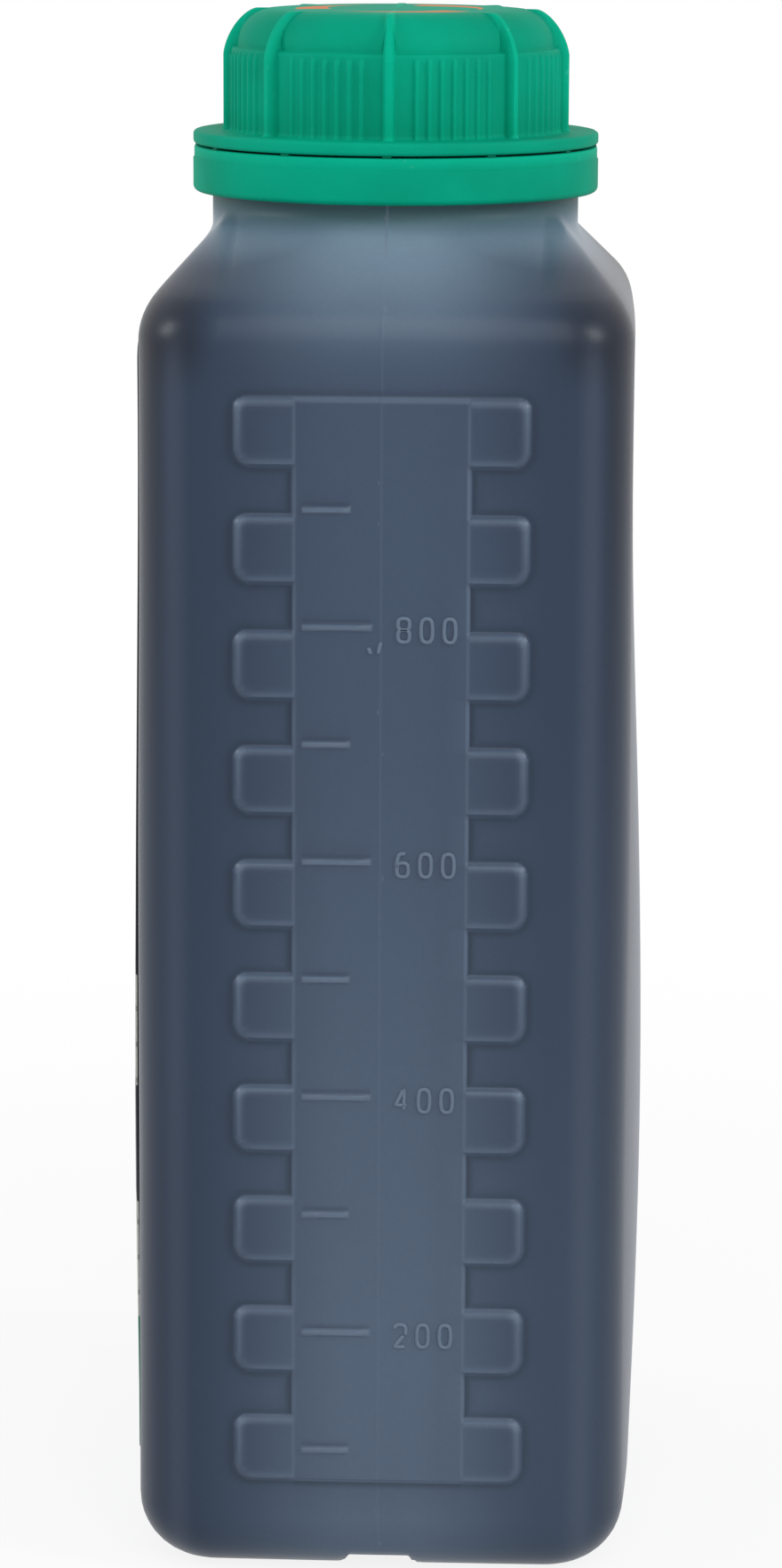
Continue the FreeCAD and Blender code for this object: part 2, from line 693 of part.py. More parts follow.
def add_ribs(body):
    """Tall ribs that stand on the flange and round over into the top."""
    sketch = new_sketch(body, "rib_outline", "XZ_Plane")
    foot = FLANGE_TOP - size.flange_height / 2
    bend = CAP_TOP - size.rib_round
    centre = size.rib_radius - size.rib_round
    taper_share = (SHELF - TAPER_FOOT) / size.seat_taper
    shelf_bore = CAP_BORE - (CAP_BORE - size.seat_radius) * taper_share
    points = [
        (centre, CAP_TOP),
        (centre, CEILING + size.cap_plate / 2),
        (size.seat_radius, CEILING + size.cap_plate / 4),
        ((shelf_bore + size.skirt_radius - size.shelf_step) / 2, SHELF),
        (CAP_BORE + size.skirt_wall / 2, TAPER_FOOT),
        (CAP_BORE + size.skirt_wall / 2, foot),
        (size.rib_radius, foot),
        (size.rib_radius, bend),
    ]
    places = [(x.value, z.value) for x, z in points]
    lines = [add_line(sketch, here, there) for here, there in zip(places, places[1:])]
    arc = add_arc(sketch, (centre.value, bend.value), size.rib_round.value, 0, math.pi / 2)
    for line, following in zip(lines, lines[1:]):
        sketch.addConstraint(Sketcher.Constraint("Coincident", line, 2, following, 1))
    sketch.addConstraint(Sketcher.Constraint("Tangent", lines[-1], 2, arc, 1))
    sketch.addConstraint(Sketcher.Constraint("Coincident", arc, 2, lines[0], 1))
    for line, (x, z) in zip(lines[1:], points[1:]):
        bound(sketch, ("DistanceX", -1, 1, line, 1), x)
        bound(sketch, ("DistanceY", -1, 1, line, 1), z)
    sketch.addConstraint(Sketcher.Constraint("Vertical", lines[0]))
    sketch.addConstraint(Sketcher.Constraint("Vertical", lines[-1]))
    bound(sketch, ("DistanceY", -1, 1, lines[0], 1), CAP_TOP)
    bound(sketch, ("DistanceY", -1, 1, arc, 3), bend)
    rib = add_pad(body, "rib", sketch, size.rib_width, midplane=True)
    return add_polar_pattern(body, "ribs", rib, Size("360", 360.0), size.rib_count)


def make_liner():
    """Foam wad that the cap presses on the mouth."""
    liner = doc.addObject("Part::Cylinder", "liner")
    liner.setExpression("Radius", (size.seat_radius - size.liner_clearance).text)
    liner.setExpression("Height", size.liner_thickness.text)
    liner.setExpression("Placement.Base.z", MOUTH.text)
    doc.recompute()
    return name_part(liner, "cap_liner")


def make_tamper_ring():
    """Ring left on the neck once the cap is opened; its hook catches under the neck's bead."""
    body = new_body("ring")
    inside = size.bead_radius + size.ring_clearance
    hook = size.neck_radius + size.ring_clearance
    hook_top = RING_FOOT + size.hook_height
    sketch = new_sketch(body, "ring_outline", "XZ_Plane")
    add_outline(sketch, [
        (hook, RING_FOOT),
        (size.ring_radius, RING_FOOT),
        (size.ring_radius, RING_TOP),
        (inside, RING_TOP),
        (inside, hook_top),
        (hook, hook_top),
    ])
    ring = add_revolution(body, "ring_shell", sketch)
    foot = edges_where(ring, lambda box: is_ring(box, size.ring_radius, RING_FOOT))
    add_fillet(body, "ring_edge", ring, foot, size.ring_round)
    return name_part(body, "tamper_ring")


def make_bridges():
    """Thin bridges that hold the ring to the cap until the first opening."""
    body = new_body("bridges")
    inside = size.bead_radius + size.ring_clearance
    middle = (inside + size.ring_radius) / 2
    sketch = new_sketch(body, "bridge_outline", "XY_Plane", RING_TOP)
    add_rectangle(sketch, middle - size.bridge_depth / 2, middle + size.bridge_depth / 2,
                  -size.bridge_width / 2, size.bridge_width / 2)
    bridge = add_pad(body, "bridge", sketch, size.bridge_gap)
    add_polar_pattern(body, "bridge_circle", bridge, Size("360", 360.0), size.bridge_count)
    return name_part(body, "tamper_bridges")


def check_and_write(parts):
    """Stop on any feature that failed, then write one file for each part."""
    for thing in doc.Objects:
        if {"Invalid", "Error"} & set(thing.State):
            raise RuntimeError("%s did not build" % thing.Name)
    os.makedirs("parts", exist_ok=True)
    for part in parts:
        if part.Shape.isNull() or not part.Shape.isValid():
            raise RuntimeError("%s has no sound shape" % part.Label)
        part.Shape.exportStep("parts/%s.step" % part.Label)
        print("%s: %.1f mm3" % (part.Label, part.Shape.Volume))


check_and_write([
    make_bottle_body(),
    make_label(),
    make_oil(),
    make_tamper_ring(),
    make_bridges(),
    make_liner(),
    make_cap(),
])
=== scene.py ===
import logging
import math
from dataclasses import dataclass
from enum import Enum
from typing import Any, Optional, Sequence

import bmesh
import bpy
import numpy as np
from mathutils import Matrix, Vector


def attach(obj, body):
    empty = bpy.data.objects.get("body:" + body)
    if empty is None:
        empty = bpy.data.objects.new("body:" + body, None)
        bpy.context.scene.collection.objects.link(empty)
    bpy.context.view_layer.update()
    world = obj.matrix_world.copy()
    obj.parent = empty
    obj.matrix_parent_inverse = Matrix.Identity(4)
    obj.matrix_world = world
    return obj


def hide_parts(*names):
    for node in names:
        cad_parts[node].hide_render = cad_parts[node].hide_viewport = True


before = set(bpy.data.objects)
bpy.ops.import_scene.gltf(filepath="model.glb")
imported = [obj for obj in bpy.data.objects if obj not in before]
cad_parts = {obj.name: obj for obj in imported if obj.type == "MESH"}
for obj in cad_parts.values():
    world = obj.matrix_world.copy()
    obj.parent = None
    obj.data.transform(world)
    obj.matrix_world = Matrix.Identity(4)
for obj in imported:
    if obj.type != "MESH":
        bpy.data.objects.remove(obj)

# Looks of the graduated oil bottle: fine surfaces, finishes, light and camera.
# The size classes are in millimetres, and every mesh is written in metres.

LOG = logging.getLogger("oil_bottle")
MM = 0.001
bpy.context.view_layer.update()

Array = np.ndarray
Colour = tuple[float, float, float]
# Two places: a share is 0 at the first and 1 at the second.
Span = tuple[float, float]

WHITE: Colour = (1.0, 1.0, 1.0)
BEAD_COLUMNS = 10
HELIX_ROWS = 220
# Distances in metres within which points are merged and edges dropped.
MERGED = 1e-6
DROPPED = 1e-7


class Body(Enum):
    """The bodies that new pieces ride on."""

    BOTTLE = "bottle"
    BAND = "tamper_band"
    CAP = "cap"


class Slot(Enum):
    """The record's material slots of new pieces."""

    WALL = "bottle_wall"
    CAP = "cap_plastic"


def srgb(red: float, green: float, blue: float) -> Colour:
    """Turn a colour on the 0 to 255 display scale into linear light.

    Args:
        red: red on the display scale.
        green: green on the display scale.
        blue: blue on the display scale.

    Returns:
        The three linear values.
    """
    shares = np.array([red, green, blue]) / 255.0
    low = shares / 12.92
    high = ((shares + 0.055) / 1.055) ** 2.4
    return tuple(float(value) for value in np.where(shares <= 0.04045, low, high))


# Shader graphs

class Value:
    """A number in a shader, whose operators add the Math nodes."""

    def __init__(self, graph: "Graph", socket: bpy.types.NodeSocket) -> None:
        """Wrap one output socket of a graph."""
        self.graph = graph
        self.socket = socket

    def _maths(self, operation: str, first: Any, second: Any = 0.0) -> "Value":
        """Add one Math node.

        Args:
            operation: the node's operation.
            first: its first value.
            second: its second value.

        Returns:
            The node's result.
        """
        node = self.graph.add("ShaderNodeMath", {"operation": operation}, {0: first, 1: second})
        return Value(self.graph, node.outputs[0])

    def __add__(self, other: Any) -> "Value":
        """Add."""
        return self._maths("ADD", self, other)

    def __sub__(self, other: Any) -> "Value":
        """Subtract."""
        return self._maths("SUBTRACT", self, other)

    def __rsub__(self, other: Any) -> "Value":
        """Subtract from a plain number."""
        return self._maths("SUBTRACT", other, self)

    def __mul__(self, other: Any) -> "Value":
        """Multiply."""
        return self._maths("MULTIPLY", self, other)

    def __abs__(self) -> "Value":
        """Size without its sign."""
        return self._maths("ABSOLUTE", self)

    __radd__ = __add__
    __rmul__ = __mul__

    def sine(self) -> "Value":
        """Sine of an angle in radians."""
        return self._maths("SINE", self)

    def fraction(self) -> "Value":
        """What is left of a number above 0 after its whole part."""
        return self._maths("FRACT", self)

    def largest(self, other: Any) -> "Value":
        """The larger of two numbers."""
        return self._maths("MAXIMUM", self, other)

    def angle_to(self, other: "Value") -> "Value":
        """Angle whose tangent is this value over another, in radians."""
        return self._maths("ARCTAN2", self, other)

    def length_with(self, other: "Value") -> "Value":
        """Hypotenuse of two numbers."""
        return self._maths("SQRT", self * self + other * other)

    def rise(self, low: float, high: float) -> "Value":
        """Smooth step from 0 at low to 1 at high; low may be the larger."""
        node = self.graph.add("ShaderNodeMapRange", {"interpolation_type": "SMOOTHSTEP"},
                              {"Value": self, "From Min": low, "From Max": high})
        return Value(self.graph, node.outputs[0])


class Graph:
    """The node tree of one material or of the world."""

    def __init__(self, owner: bpy.types.ID) -> None:
        """Start with an empty tree.

        Args:
            owner: the material or world.
        """
        self.owner = owner
        owner.use_nodes = True
        self.tree = owner.node_tree
        self.tree.nodes.clear()

    def add(self, kind: str, settings: Optional[dict] = None,
            inputs: Optional[dict] = None) -> bpy.types.Node:
        """Add any node.

        Args:
            kind: the node's type.
            settings: properties of the node, set first.
            inputs: values or links of its sockets, by name or number.

        Returns:
            The new node.
        """
        node = self.tree.nodes.new(kind)
        for key, setting in (settings or {}).items():
            setattr(node, key, setting)
        for key, value in (inputs or {}).items():
            if isinstance(value, Value):
                value = value.socket
            if isinstance(value, bpy.types.NodeSocket):
                self.tree.links.new(value, node.inputs[key])
            elif isinstance(value, tuple) and node.inputs[key].type == "RGBA":
                node.inputs[key].default_value = (*value, 1.0)
            else:
                node.inputs[key].default_value = value
        return node

    def place(self) -> bpy.types.NodeSocket:
        """Place on the object, in metres."""
        return self.add("ShaderNodeTexCoord").outputs["Object"]

    def axes(self) -> tuple[Value, Value, Value]:
        """The three coordinates on the object, in metres."""
        node = self.add("ShaderNodeSeparateXYZ", None, {0: self.place()})
        return tuple(Value(self, output) for output in node.outputs)

    def attribute(self, name: str) -> Value:
        """A number that the mesh carries at its points."""
        node = self.add("ShaderNodeAttribute", {"attribute_name": name})
        return Value(self, node.outputs["Fac"])

    def seen(self) -> Value:
        """Tell the rays that show a thing as it looks from those that carry its light.

        Returns:
            1 for camera, glossy and transmission rays, else 0.
        """
        rays = self.add("ShaderNodeLightPath").outputs
        camera = Value(self, rays["Is Camera Ray"])
        glossy = Value(self, rays["Is Glossy Ray"])
        return camera.largest(glossy).largest(Value(self, rays["Is Transmission Ray"]))

    def noise(self, scale: float, detail: float = 2.0, stretch: Colour = (1.0, 1.0, 1.0)) -> Value:
        """Noise about a half.

        Args:
            scale: lumps per metre.
            detail: octaves.
            stretch: factor on each axis before the scale.

        Returns:
            The noise.
        """
        mapping = self.add("ShaderNodeMapping", None, {"Vector": self.place(), "Scale": stretch})
        node = self.add("ShaderNodeTexNoise", None,
                        {"Vector": mapping.outputs[0], "Scale": scale, "Detail": detail})
        return Value(self, node.outputs["Fac"])

    def mix(self, first: Any, second: Any, share: Any) -> bpy.types.NodeSocket:
        """Blend two colours.

        Args:
            first: colour or socket at share 0.
            second: colour or socket at share 1.
            share: number or value.

        Returns:
            The blended colour.
        """
        node = self.add("ShaderNodeMix", {"data_type": "RGBA"}, {0: share, 6: first, 7: second})
        return node.outputs[2]

    def shade(self, colour: Any, factor: Value) -> bpy.types.NodeSocket:
        """Multiply a colour by a number."""
        node = self.add("ShaderNodeVectorMath", {"operation": "SCALE"}, {0: colour, "Scale": factor})
        return node.outputs[0]

    def bump(self, height: Value, distance: float, strength: float) -> bpy.types.NodeSocket:
        """Normal tilted by a height.

        Args:
            height: the height, about 0 to 1.
            distance: what a height of 1 stands for, in metres.
            strength: how much of it shows.

        Returns:
            The normal.
        """
        node = self.add("ShaderNodeBump", None,
                        {"Height": height, "Distance": distance, "Strength": strength})
        return node.outputs[0]

    def finish(self, inputs: dict) -> bpy.types.Material:
        """Close the graph with one Principled shader.

        Args:
            inputs: the shader's values and links.

        Returns:
            The material.
        """
        shader = self.add("ShaderNodeBsdfPrincipled", None, inputs)
        self.add("ShaderNodeOutputMaterial", None, {"Surface": shader.outputs[0]})
        return self.owner


# Finishes, with heights and widths in metres

@dataclass(frozen=True)
class BlownWall:
    """Satin polyethylene, thin enough to show the dark oil behind it."""

    # painted shade: the colour towards the upright corners
    corner: Colour = srgb(42, 56, 76)
    middle: Colour = srgb(62, 77, 98)
    low_middle: Colour = srgb(80, 96, 116)
    # the colour of painted highlights on the graduation's rims and lines, and of the paler marks, specks and
    # seam
    rim: Colour = srgb(104, 119, 139)
    empty: Colour = srgb(122, 146, 164)
    # a painted shadow and green reflection of the ring above the neck
    neck: Colour = srgb(60, 91, 97)
    # painted highlight: pale streaks down beside the upright corners
    streak_highlight: Colour = srgb(72, 80, 96)
    # the colour of painted shade under the shoulder corners and along the upright edges
    deep: Colour = srgb(24, 30, 42)
    low_heights: Span = (0.15, 0.02)
    corner_heights: Span = (0.19, 0.199)
    empty_heights: Span = (0.178, 0.208)
    empty_width: Span = (0.027, 0.003)
    collar_heights: Span = (0.187, 0.198)
    collar_radii: Span = (0.04, 0.0285)
    eaves_shade_foot: Span = (0.176, 0.185)
    eaves_shade_head: Span = (0.2, 0.188)
    eaves_shade_width: Span = (0.022, 0.03)
    # painted light on the lower right of the walls
    paler_heights: Span = (0.16, 0.04)
    right_light_width: Span = (0.012, 0.03)
    neck_heights: Span = (0.1982, 0.2022)
    streak_highlight_heights: Span = (0.19, 0.18)
    streak_highlight_inside: Span = (0.0272, 0.0298)
    streak_highlight_outside: Span = (0.0324, 0.0298)
    edge_shade_heights: Span = (0.1, 0.185)
    edge_shade_width: Span = (0.0303, 0.0335)
    speck_width: Span = (0.0006, 0.0003)
    speck_noise: Span = (0.66, 0.72)
    seam_heights: Span = (0.195, 0.198)
    seam_width: Span = (0.0003, 0.0001)
    seam_depth: Span = (0.0, -0.01)
    collar_share: float = 0.6
    eaves_shade_share: float = 0.8
    right_light_share: float = 0.22
    streak_highlight_share: float = 0.35
    edge_shade_share: float = 0.3
    high_edge_shade_share: float = 0.5
    speck_share: float = 0.6
    seam_share: float = 0.1
    neck_seam_share: float = 0.5
    painted_shade_share: float = 0.42

    def behind(self, graph: Graph, near_corner: Value) -> bpy.types.NodeSocket:
        """Colour of the wall with what lies behind it: full below, empty by the neck; painted shade at the
        corners, under the shoulder and along the edges, painted light on the lower right, a painted shadow
        and reflection of the ring on the neck, and painted highlight streaks by the corners.

        Args:
            graph: the finish's graph.
            near_corner: share of an upright corner.

        Returns:
            The colour before seam, rims and grain.
        """
        x, y, height = graph.axes()
        from_middle = abs(x)
        colour = graph.mix(self.middle, self.low_middle, height.rise(*self.low_heights))
        # painted shade: darker towards the upright corners
        colour = graph.mix(colour, self.corner, near_corner)
        above = height.rise(*self.empty_heights) * from_middle.rise(*self.empty_width)
        collar = x.length_with(y).rise(*self.collar_radii) * height.rise(*self.collar_heights)
        colour = graph.mix(colour, self.empty, above.largest(self.collar_share * collar))
        # painted shade under the shoulder corners
        eaves_shade = height.rise(*self.eaves_shade_foot) * height.rise(*self.eaves_shade_head)
        eaves_shade = eaves_shade * from_middle.rise(*self.eaves_shade_width)
        colour = graph.mix(colour, self.deep, self.eaves_shade_share * eaves_shade)
        # painted light: the lower right of the walls paler, as if lit more from the right
        thin = x.rise(*self.right_light_width) * height.rise(*self.paler_heights)
        colour = graph.mix(colour, self.low_middle, self.right_light_share * thin)
        # painted shadow and green reflection of the ring on the neck
        colour = graph.mix(colour, self.neck, height.rise(*self.neck_heights))
        # painted highlight: pale streaks down beside the upright corners
        streak_highlight = from_middle.rise(*self.streak_highlight_inside) * from_middle.rise(*self.streak_highlight_outside)
        streak_highlight = streak_highlight * near_corner * height.rise(*self.streak_highlight_heights)
        colour = graph.mix(colour, self.streak_highlight, self.streak_highlight_share * streak_highlight)
        # painted shade along the upright edges, stronger higher up
        edge = self.edge_shade_share + self.high_edge_shade_share * height.rise(*self.edge_shade_heights)
        return graph.mix(colour, self.deep, from_middle.rise(*self.edge_shade_width) * near_corner * edge)

    def material(self) -> bpy.types.Material:
        """Wall with a pale seam, painted highlights on the graduation's rims and lines, paler marks, painted
        shade at the feet of edges, and a fine grain.

        Returns:
            The finish.
        """
        graph = Graph(bpy.data.materials.new("blown_wall"))
        x, y, height = graph.axes()
        near_corner = graph.attribute("near_corner") * (1.0 - 0.6 * height.rise(*self.corner_heights))
        # above 0: painted highlights of the graduation and paler marks and numerals; below 0: painted shade
        pale = graph.attribute("pale")
        cloud = graph.noise(22.0, 3.0)
        flow = graph.noise(70.0, 3.0, (1.0, 1.0, 0.06))
        grain = graph.noise(1500.0, 2.0)
        specks = abs(x).rise(*self.speck_width) * graph.noise(330.0, 1.0).rise(*self.speck_noise)
        seam = abs(x).rise(*self.seam_width) * y.rise(*self.seam_depth)
        seam = seam * (self.seam_share + self.neck_seam_share * height.rise(*self.seam_heights))
        colour = self.behind(graph, near_corner)
        # painted highlight: rims, lines and marks mix towards the pale colour, with the specks and seam
        colour = graph.mix(colour, self.rim, pale.largest(self.speck_share * specks).largest(seam))
        # painted shade at the feet of raised edges and above the marks
        painted_shade = (0.0 - pale).largest(0.0)
        tone = (0.79 + 0.18 * cloud + 0.12 * flow + 0.12 * grain) * (1.0 - self.painted_shade_share * painted_shade)
        on_neck = height.rise(*self.neck_heights)
        return graph.finish({
            "Base Color": graph.shade(colour, tone),
            "Roughness": 0.24 + 0.08 * grain + 0.06 * cloud + 0.2 * on_neck + 0.03 * near_corner,
            "Specular IOR Level": 0.22,
            "Normal": graph.bump(0.6 * grain + 0.4 * flow, 0.00025, 0.06),
        })


@dataclass(frozen=True)
class CapPlastic:
    """Satin green polypropylene with pale scuffs and a painted highlight on its crests."""

    body: Colour = srgb(0, 161, 129)
    deep: Colour = srgb(0, 143, 113)
    crest_highlight: Colour = srgb(0, 180, 144)
    scuff: Colour = srgb(60, 184, 154)
    print_ink: Colour = srgb(226, 128, 84)
    printed_heights: Span = (0.2294, 0.2297)
    ring_inside: float = 0.0098
    ring_outside: float = 0.0152
    ink_edge: float = 0.00015
    arc_count: int = 3
    arc_turn: float = 0.2
    arc_swell: Span = (0.06, 0.9)
    arc_start: Span = (0.05, 0.07)
    arc_end: Span = (0.86, 0.84)
    scuff_noise: Span = (0.66, 0.72)
    flow_noise: Span = (0.3, 0.7)
    crest_highlight_share: float = 0.55
    scuff_share: float = 0.5

    def printed(self, graph: Graph) -> Value:
        """Share of the printed ring of arcs, each of which widens from a point along its length.

        Args:
            graph: the finish's graph.

        Returns:
            1 on the ink, else 0.
        """
        x, y, height = graph.axes()
        turns = y.angle_to(x) * (self.arc_count / (2.0 * math.pi))
        along = (turns + (self.arc_count + self.arc_turn)).fraction()
        half = (self.ring_outside - self.ring_inside) / 2
        centre = (self.ring_outside + self.ring_inside) / 2
        off = abs(x.length_with(y) - centre) - along.rise(*self.arc_swell) * half
        ink = off.rise(self.ink_edge, -self.ink_edge) * height.rise(*self.printed_heights)
        return ink * along.rise(*self.arc_start) * along.rise(*self.arc_end)

    def material(self) -> bpy.types.Material:
        """Green with cloudy flow, a painted highlight and scuffs on crests, and the print on the flat top.

        Returns:
            The finish.
        """
        graph = Graph(bpy.data.materials.new("cap_plastic"))
        cloud = graph.noise(45.0, 3.0)
        grain = graph.noise(2200.0, 2.0)
        specks = graph.noise(700.0, 4.0).rise(*self.scuff_noise)
        crest = graph.attribute("crest")
        colour = graph.mix(self.deep, self.body, cloud.rise(*self.flow_noise))
        # painted highlight on the ribs, grip ridges and the ring's upper edge
        colour = graph.mix(colour, self.crest_highlight, self.crest_highlight_share * crest)
        colour = graph.mix(colour, self.scuff, self.scuff_share * specks * crest)
        colour = graph.mix(colour, self.print_ink, self.printed(graph) * (0.82 + 0.18 * cloud))
        return graph.finish({
            "Base Color": colour,
            "Roughness": 0.5 + 0.12 * cloud + 0.06 * grain,
            "Specular IOR Level": 0.05,
            "Normal": graph.bump(0.7 * grain + 0.3 * cloud, 0.00012, 0.3),
        })


@dataclass(frozen=True)
class LabelFilm:
    """Satin film with plain printed fields and rules."""

    dark: Colour = srgb(34, 38, 46)
    pale: Colour = srgb(196, 198, 190)
    green: Colour = srgb(30, 128, 92)
    rule: Colour = srgb(150, 152, 146)
    green_top: float = 0.036
    low_panel: float = 0.054
    high_panel: tuple[float, float] = (0.072, 0.089)
    edge: float = 0.0002
    rule_pitch: float = 0.0055
    rule_waves: Span = (0.86, 0.94)

    def material(self) -> bpy.types.Material:
        """Green foot, two pale panels with fine rules, a dark band between them and a dark head.

        Returns:
            The finish.
        """
        graph = Graph(bpy.data.materials.new("label_film"))
        height = graph.axes()[2]
        cloud = graph.noise(30.0, 2.0)
        fibre = graph.noise(1800.0, 2.0)
        waves = (height * (2.0 * math.pi / self.rule_pitch)).sine()
        panel = graph.mix(self.pale, self.rule, waves.rise(*self.rule_waves))
        foot, head = self.high_panel
        above_green = height.rise(self.green_top, self.green_top + self.edge)
        low = above_green * height.rise(self.low_panel + self.edge, self.low_panel)
        high = height.rise(foot, foot + self.edge) * height.rise(head + self.edge, head)
        field = graph.mix(self.green, self.dark, above_green)
        colour = graph.mix(field, panel, low.largest(high))
        return graph.finish({
            "Base Color": graph.shade(colour, 0.88 + 0.16 * cloud + 0.08 * fibre),
            "Roughness": 0.34 + 0.16 * cloud,
            "Specular IOR Level": 0.45,
            "Normal": graph.bump(fibre, 0.0001, 0.2),
        })


@dataclass(frozen=True)
class DarkOil:
    """Glossy dark oil."""

    deep: Colour = srgb(28, 18, 10)
    thin: Colour = srgb(74, 44, 18)
    paler_heights: Span = (0.17, 0.187)

    def material(self) -> bpy.types.Material:
        """Browner towards the surface, with faint swirls.

        Returns:
            The finish.
        """
        graph = Graph(bpy.data.materials.new("dark_oil"))
        height = graph.axes()[2]
        swirl = graph.noise(40.0, 4.0)
        share = 0.35 * swirl + 0.4 * height.rise(*self.paler_heights)
        return graph.finish({
            "Base Color": graph.mix(self.deep, self.thin, share),
            "Roughness": 0.04 + 0.05 * swirl,
            "IOR": 1.47,
        })


@dataclass(frozen=True)
class LinerFoam:
    """Off-white closed-cell foam."""

    body: Colour = srgb(226, 224, 214)
    cell: Colour = srgb(196, 192, 178)
    cell_noise: Span = (0.4, 0.7)
    stain_noise: Span = (0.55, 0.75)

    def material(self) -> bpy.types.Material:
        """Fine cells with a soft sheen, and a faint stain of oil.

        Returns:
            The finish.
        """
        graph = Graph(bpy.data.materials.new("liner_foam"))
        cells = graph.noise(1600.0, 3.0)
        stain = graph.noise(70.0, 2.0).rise(*self.stain_noise)
        share = cells.rise(*self.cell_noise) * 0.6 + stain * 0.3
        return graph.finish({
            "Base Color": graph.mix(self.body, self.cell, share),
            "Roughness": 0.62 + 0.2 * cells,
            "Normal": graph.bump(cells, 0.0002, 0.5),
        })


# Surfaces

def rounded(corners: Sequence[tuple[float, float, float]], steps: int = 5) -> Array:
    """Polyline with its corners rounded.

    Each corner with a radius gives way to an arc that starts and ends where a circle of that
    radius touches both of its sides, a distance of radius over tan(half the angle) away.

    Args:
        corners: (across, up, radius) of each corner; the first and last stay sharp.
        steps: points on each arc less one.

    Returns:
        Points, two columns.
    """
    runs = [np.array([corners[0][:2]])]
    for before, corner, after in zip(corners, corners[1:], corners[2:]):
        place = np.array(corner[:2])
        radius = corner[2]
        if radius <= 0:
            runs.append(place[None, :])
            continue
        back = np.array(before[:2]) - place
        ahead = np.array(after[:2]) - place
        back = back / np.linalg.norm(back)
        ahead = ahead / np.linalg.norm(ahead)
        half = math.acos(float(np.clip(back @ ahead, -1.0, 1.0))) / 2
        middle = back + ahead
        centre = place + middle / np.linalg.norm(middle) * radius / math.sin(half)
        start = place + back * radius / math.tan(half) - centre
        end = place + ahead * radius / math.tan(half) - centre
        sweep = math.pi - 2 * half
        share = np.linspace(0.0, 1.0, steps + 1)[:, None]
        arc = np.sin((1 - share) * sweep) * start + np.sin(share * sweep) * end
        runs.append(centre + arc / math.sin(sweep))
    runs.append(np.array([corners[-1][:2]]))
    return np.concatenate(runs)


def spun(profile: Array, angles: Array) -> Array:
    """Profile turned round the Z axis: (r cos a, r sin a, z).

    Args:
        profile: (r, z) points.
        angles: turns in radians.

    Returns:
        Grid of points, one row for each profile point.
    """
    radius = profile[:, :1]
    height = np.broadcast_to(profile[:, 1:], (len(profile), len(angles)))
    return np.stack([radius * np.cos(angles), radius * np.sin(angles), height], axis=2)


def smooth_step(value: Array) -> Array:
    """Rise from 0 to 1 with level ends, as 3 t squared less 2 t cubed."""
    share = np.clip(value, 0.0, 1.0)
    return share * share * (3.0 - 2.0 * share)


def natural_spline(knots: Array, values: Array, at: Array) -> Array:
    """Smooth curve through values at knots: cubic pieces that share slope and bend where they meet.

    The bend is 0 at both ends. The bends at the other knots solve one linear equation for each.

    Args:
        knots: places, rising.
        values: what the curve takes there.
        at: places to read.

    Returns:
        The curve's values.
    """
    gap = np.diff(knots)
    count = len(knots)
    system = np.eye(count)
    right = np.zeros(count)
    inner = np.arange(1, count - 1)
    system[inner, inner - 1] = gap[:-1]
    system[inner, inner] = 2 * (gap[:-1] + gap[1:])
    system[inner, inner + 1] = gap[1:]
    slope = np.diff(values) / gap
    right[inner] = 6 * np.diff(slope)
    bend = np.linalg.solve(system, right)
    span = np.clip(np.searchsorted(knots, at) - 1, 0, count - 2)
    width = gap[span]
    ahead = (knots[span + 1] - at) / width
    behind = 1 - ahead
    curve = ((ahead ** 3 - ahead) * bend[span] + (behind ** 3 - behind) * bend[span + 1]) * width ** 2 / 6
    return ahead * values[span] + behind * values[span + 1] + curve


def grid_object(name: str, grids: Sequence[Array], marks: dict[str, Any],
                crease: float = 38.0) -> bpy.types.Object:
    """Make an object of grids of points in millimetres, in each of which the last column joins the first.

    Args:
        name: the object's name.
        grids: rows by columns by three, one grid for each closed surface.
        marks: by attribute name, a number for each point or one number for all of them.
        crease: angle in degrees past which an edge stays sharp.

    Returns:
        The object, at the origin, with doubled points merged.
    """
    points = np.concatenate([grid.reshape(-1, 3) for grid in grids])
    quads = []
    first = 0
    for grid in grids:
        rows, columns = grid.shape[:2]
        number = first + np.arange(rows * columns).reshape(rows, columns)
        after = np.roll(number, -1, axis=1)
        quads.append(np.stack([number[:-1], after[:-1], after[1:], number[1:]], axis=-1).reshape(-1, 4))
        first += rows * columns
    mesh = bpy.data.meshes.new(name)
    mesh.from_pydata((points * MM).tolist(), [], np.concatenate(quads).tolist())
    for key, values in marks.items():
        layer = mesh.attributes.new(key, "FLOAT", "POINT")
        every = np.broadcast_to(np.ravel(values), len(points))
        layer.data.foreach_set("value", np.ascontiguousarray(every, dtype=np.float32))
    shape = bmesh.new()
    shape.from_mesh(mesh)
    bmesh.ops.remove_doubles(shape, verts=shape.verts, dist=MERGED)
    bmesh.ops.dissolve_degenerate(shape, edges=shape.edges, dist=DROPPED)
    shape.to_mesh(mesh)
    shape.free()
    mesh.shade_smooth()
    mesh.set_sharp_from_angle(angle=math.radians(crease))
    mesh.update()
    thing = bpy.data.objects.new(name, mesh)
    bpy.context.scene.collection.objects.link(thing)
    return thing


def bead(path: Array, across: Array, up: Array, half_width: Array, rise: Array) -> Array:
    """Low round bead along a path: path + across w cos t + up h sin t, with t once round, backwards.

    Args:
        path: points of the middle line on the carrying face.
        across: unit direction across the bead at each point.
        up: unit direction away from the face at each point.
        half_width: half width at each point.
        rise: height at each point.

    Returns:
        Grid of points, one row for each path point.
    """
    turn = np.linspace(2 * math.pi, 0.0, BEAD_COLUMNS, endpoint=False)
    sideways = across[:, None, :] * (half_width[:, None] * np.cos(turn))[:, :, None]
    upwards = up[:, None, :] * (rise[:, None] * np.sin(turn))[:, :, None]
    return path[:, None, :] + sideways + upwards


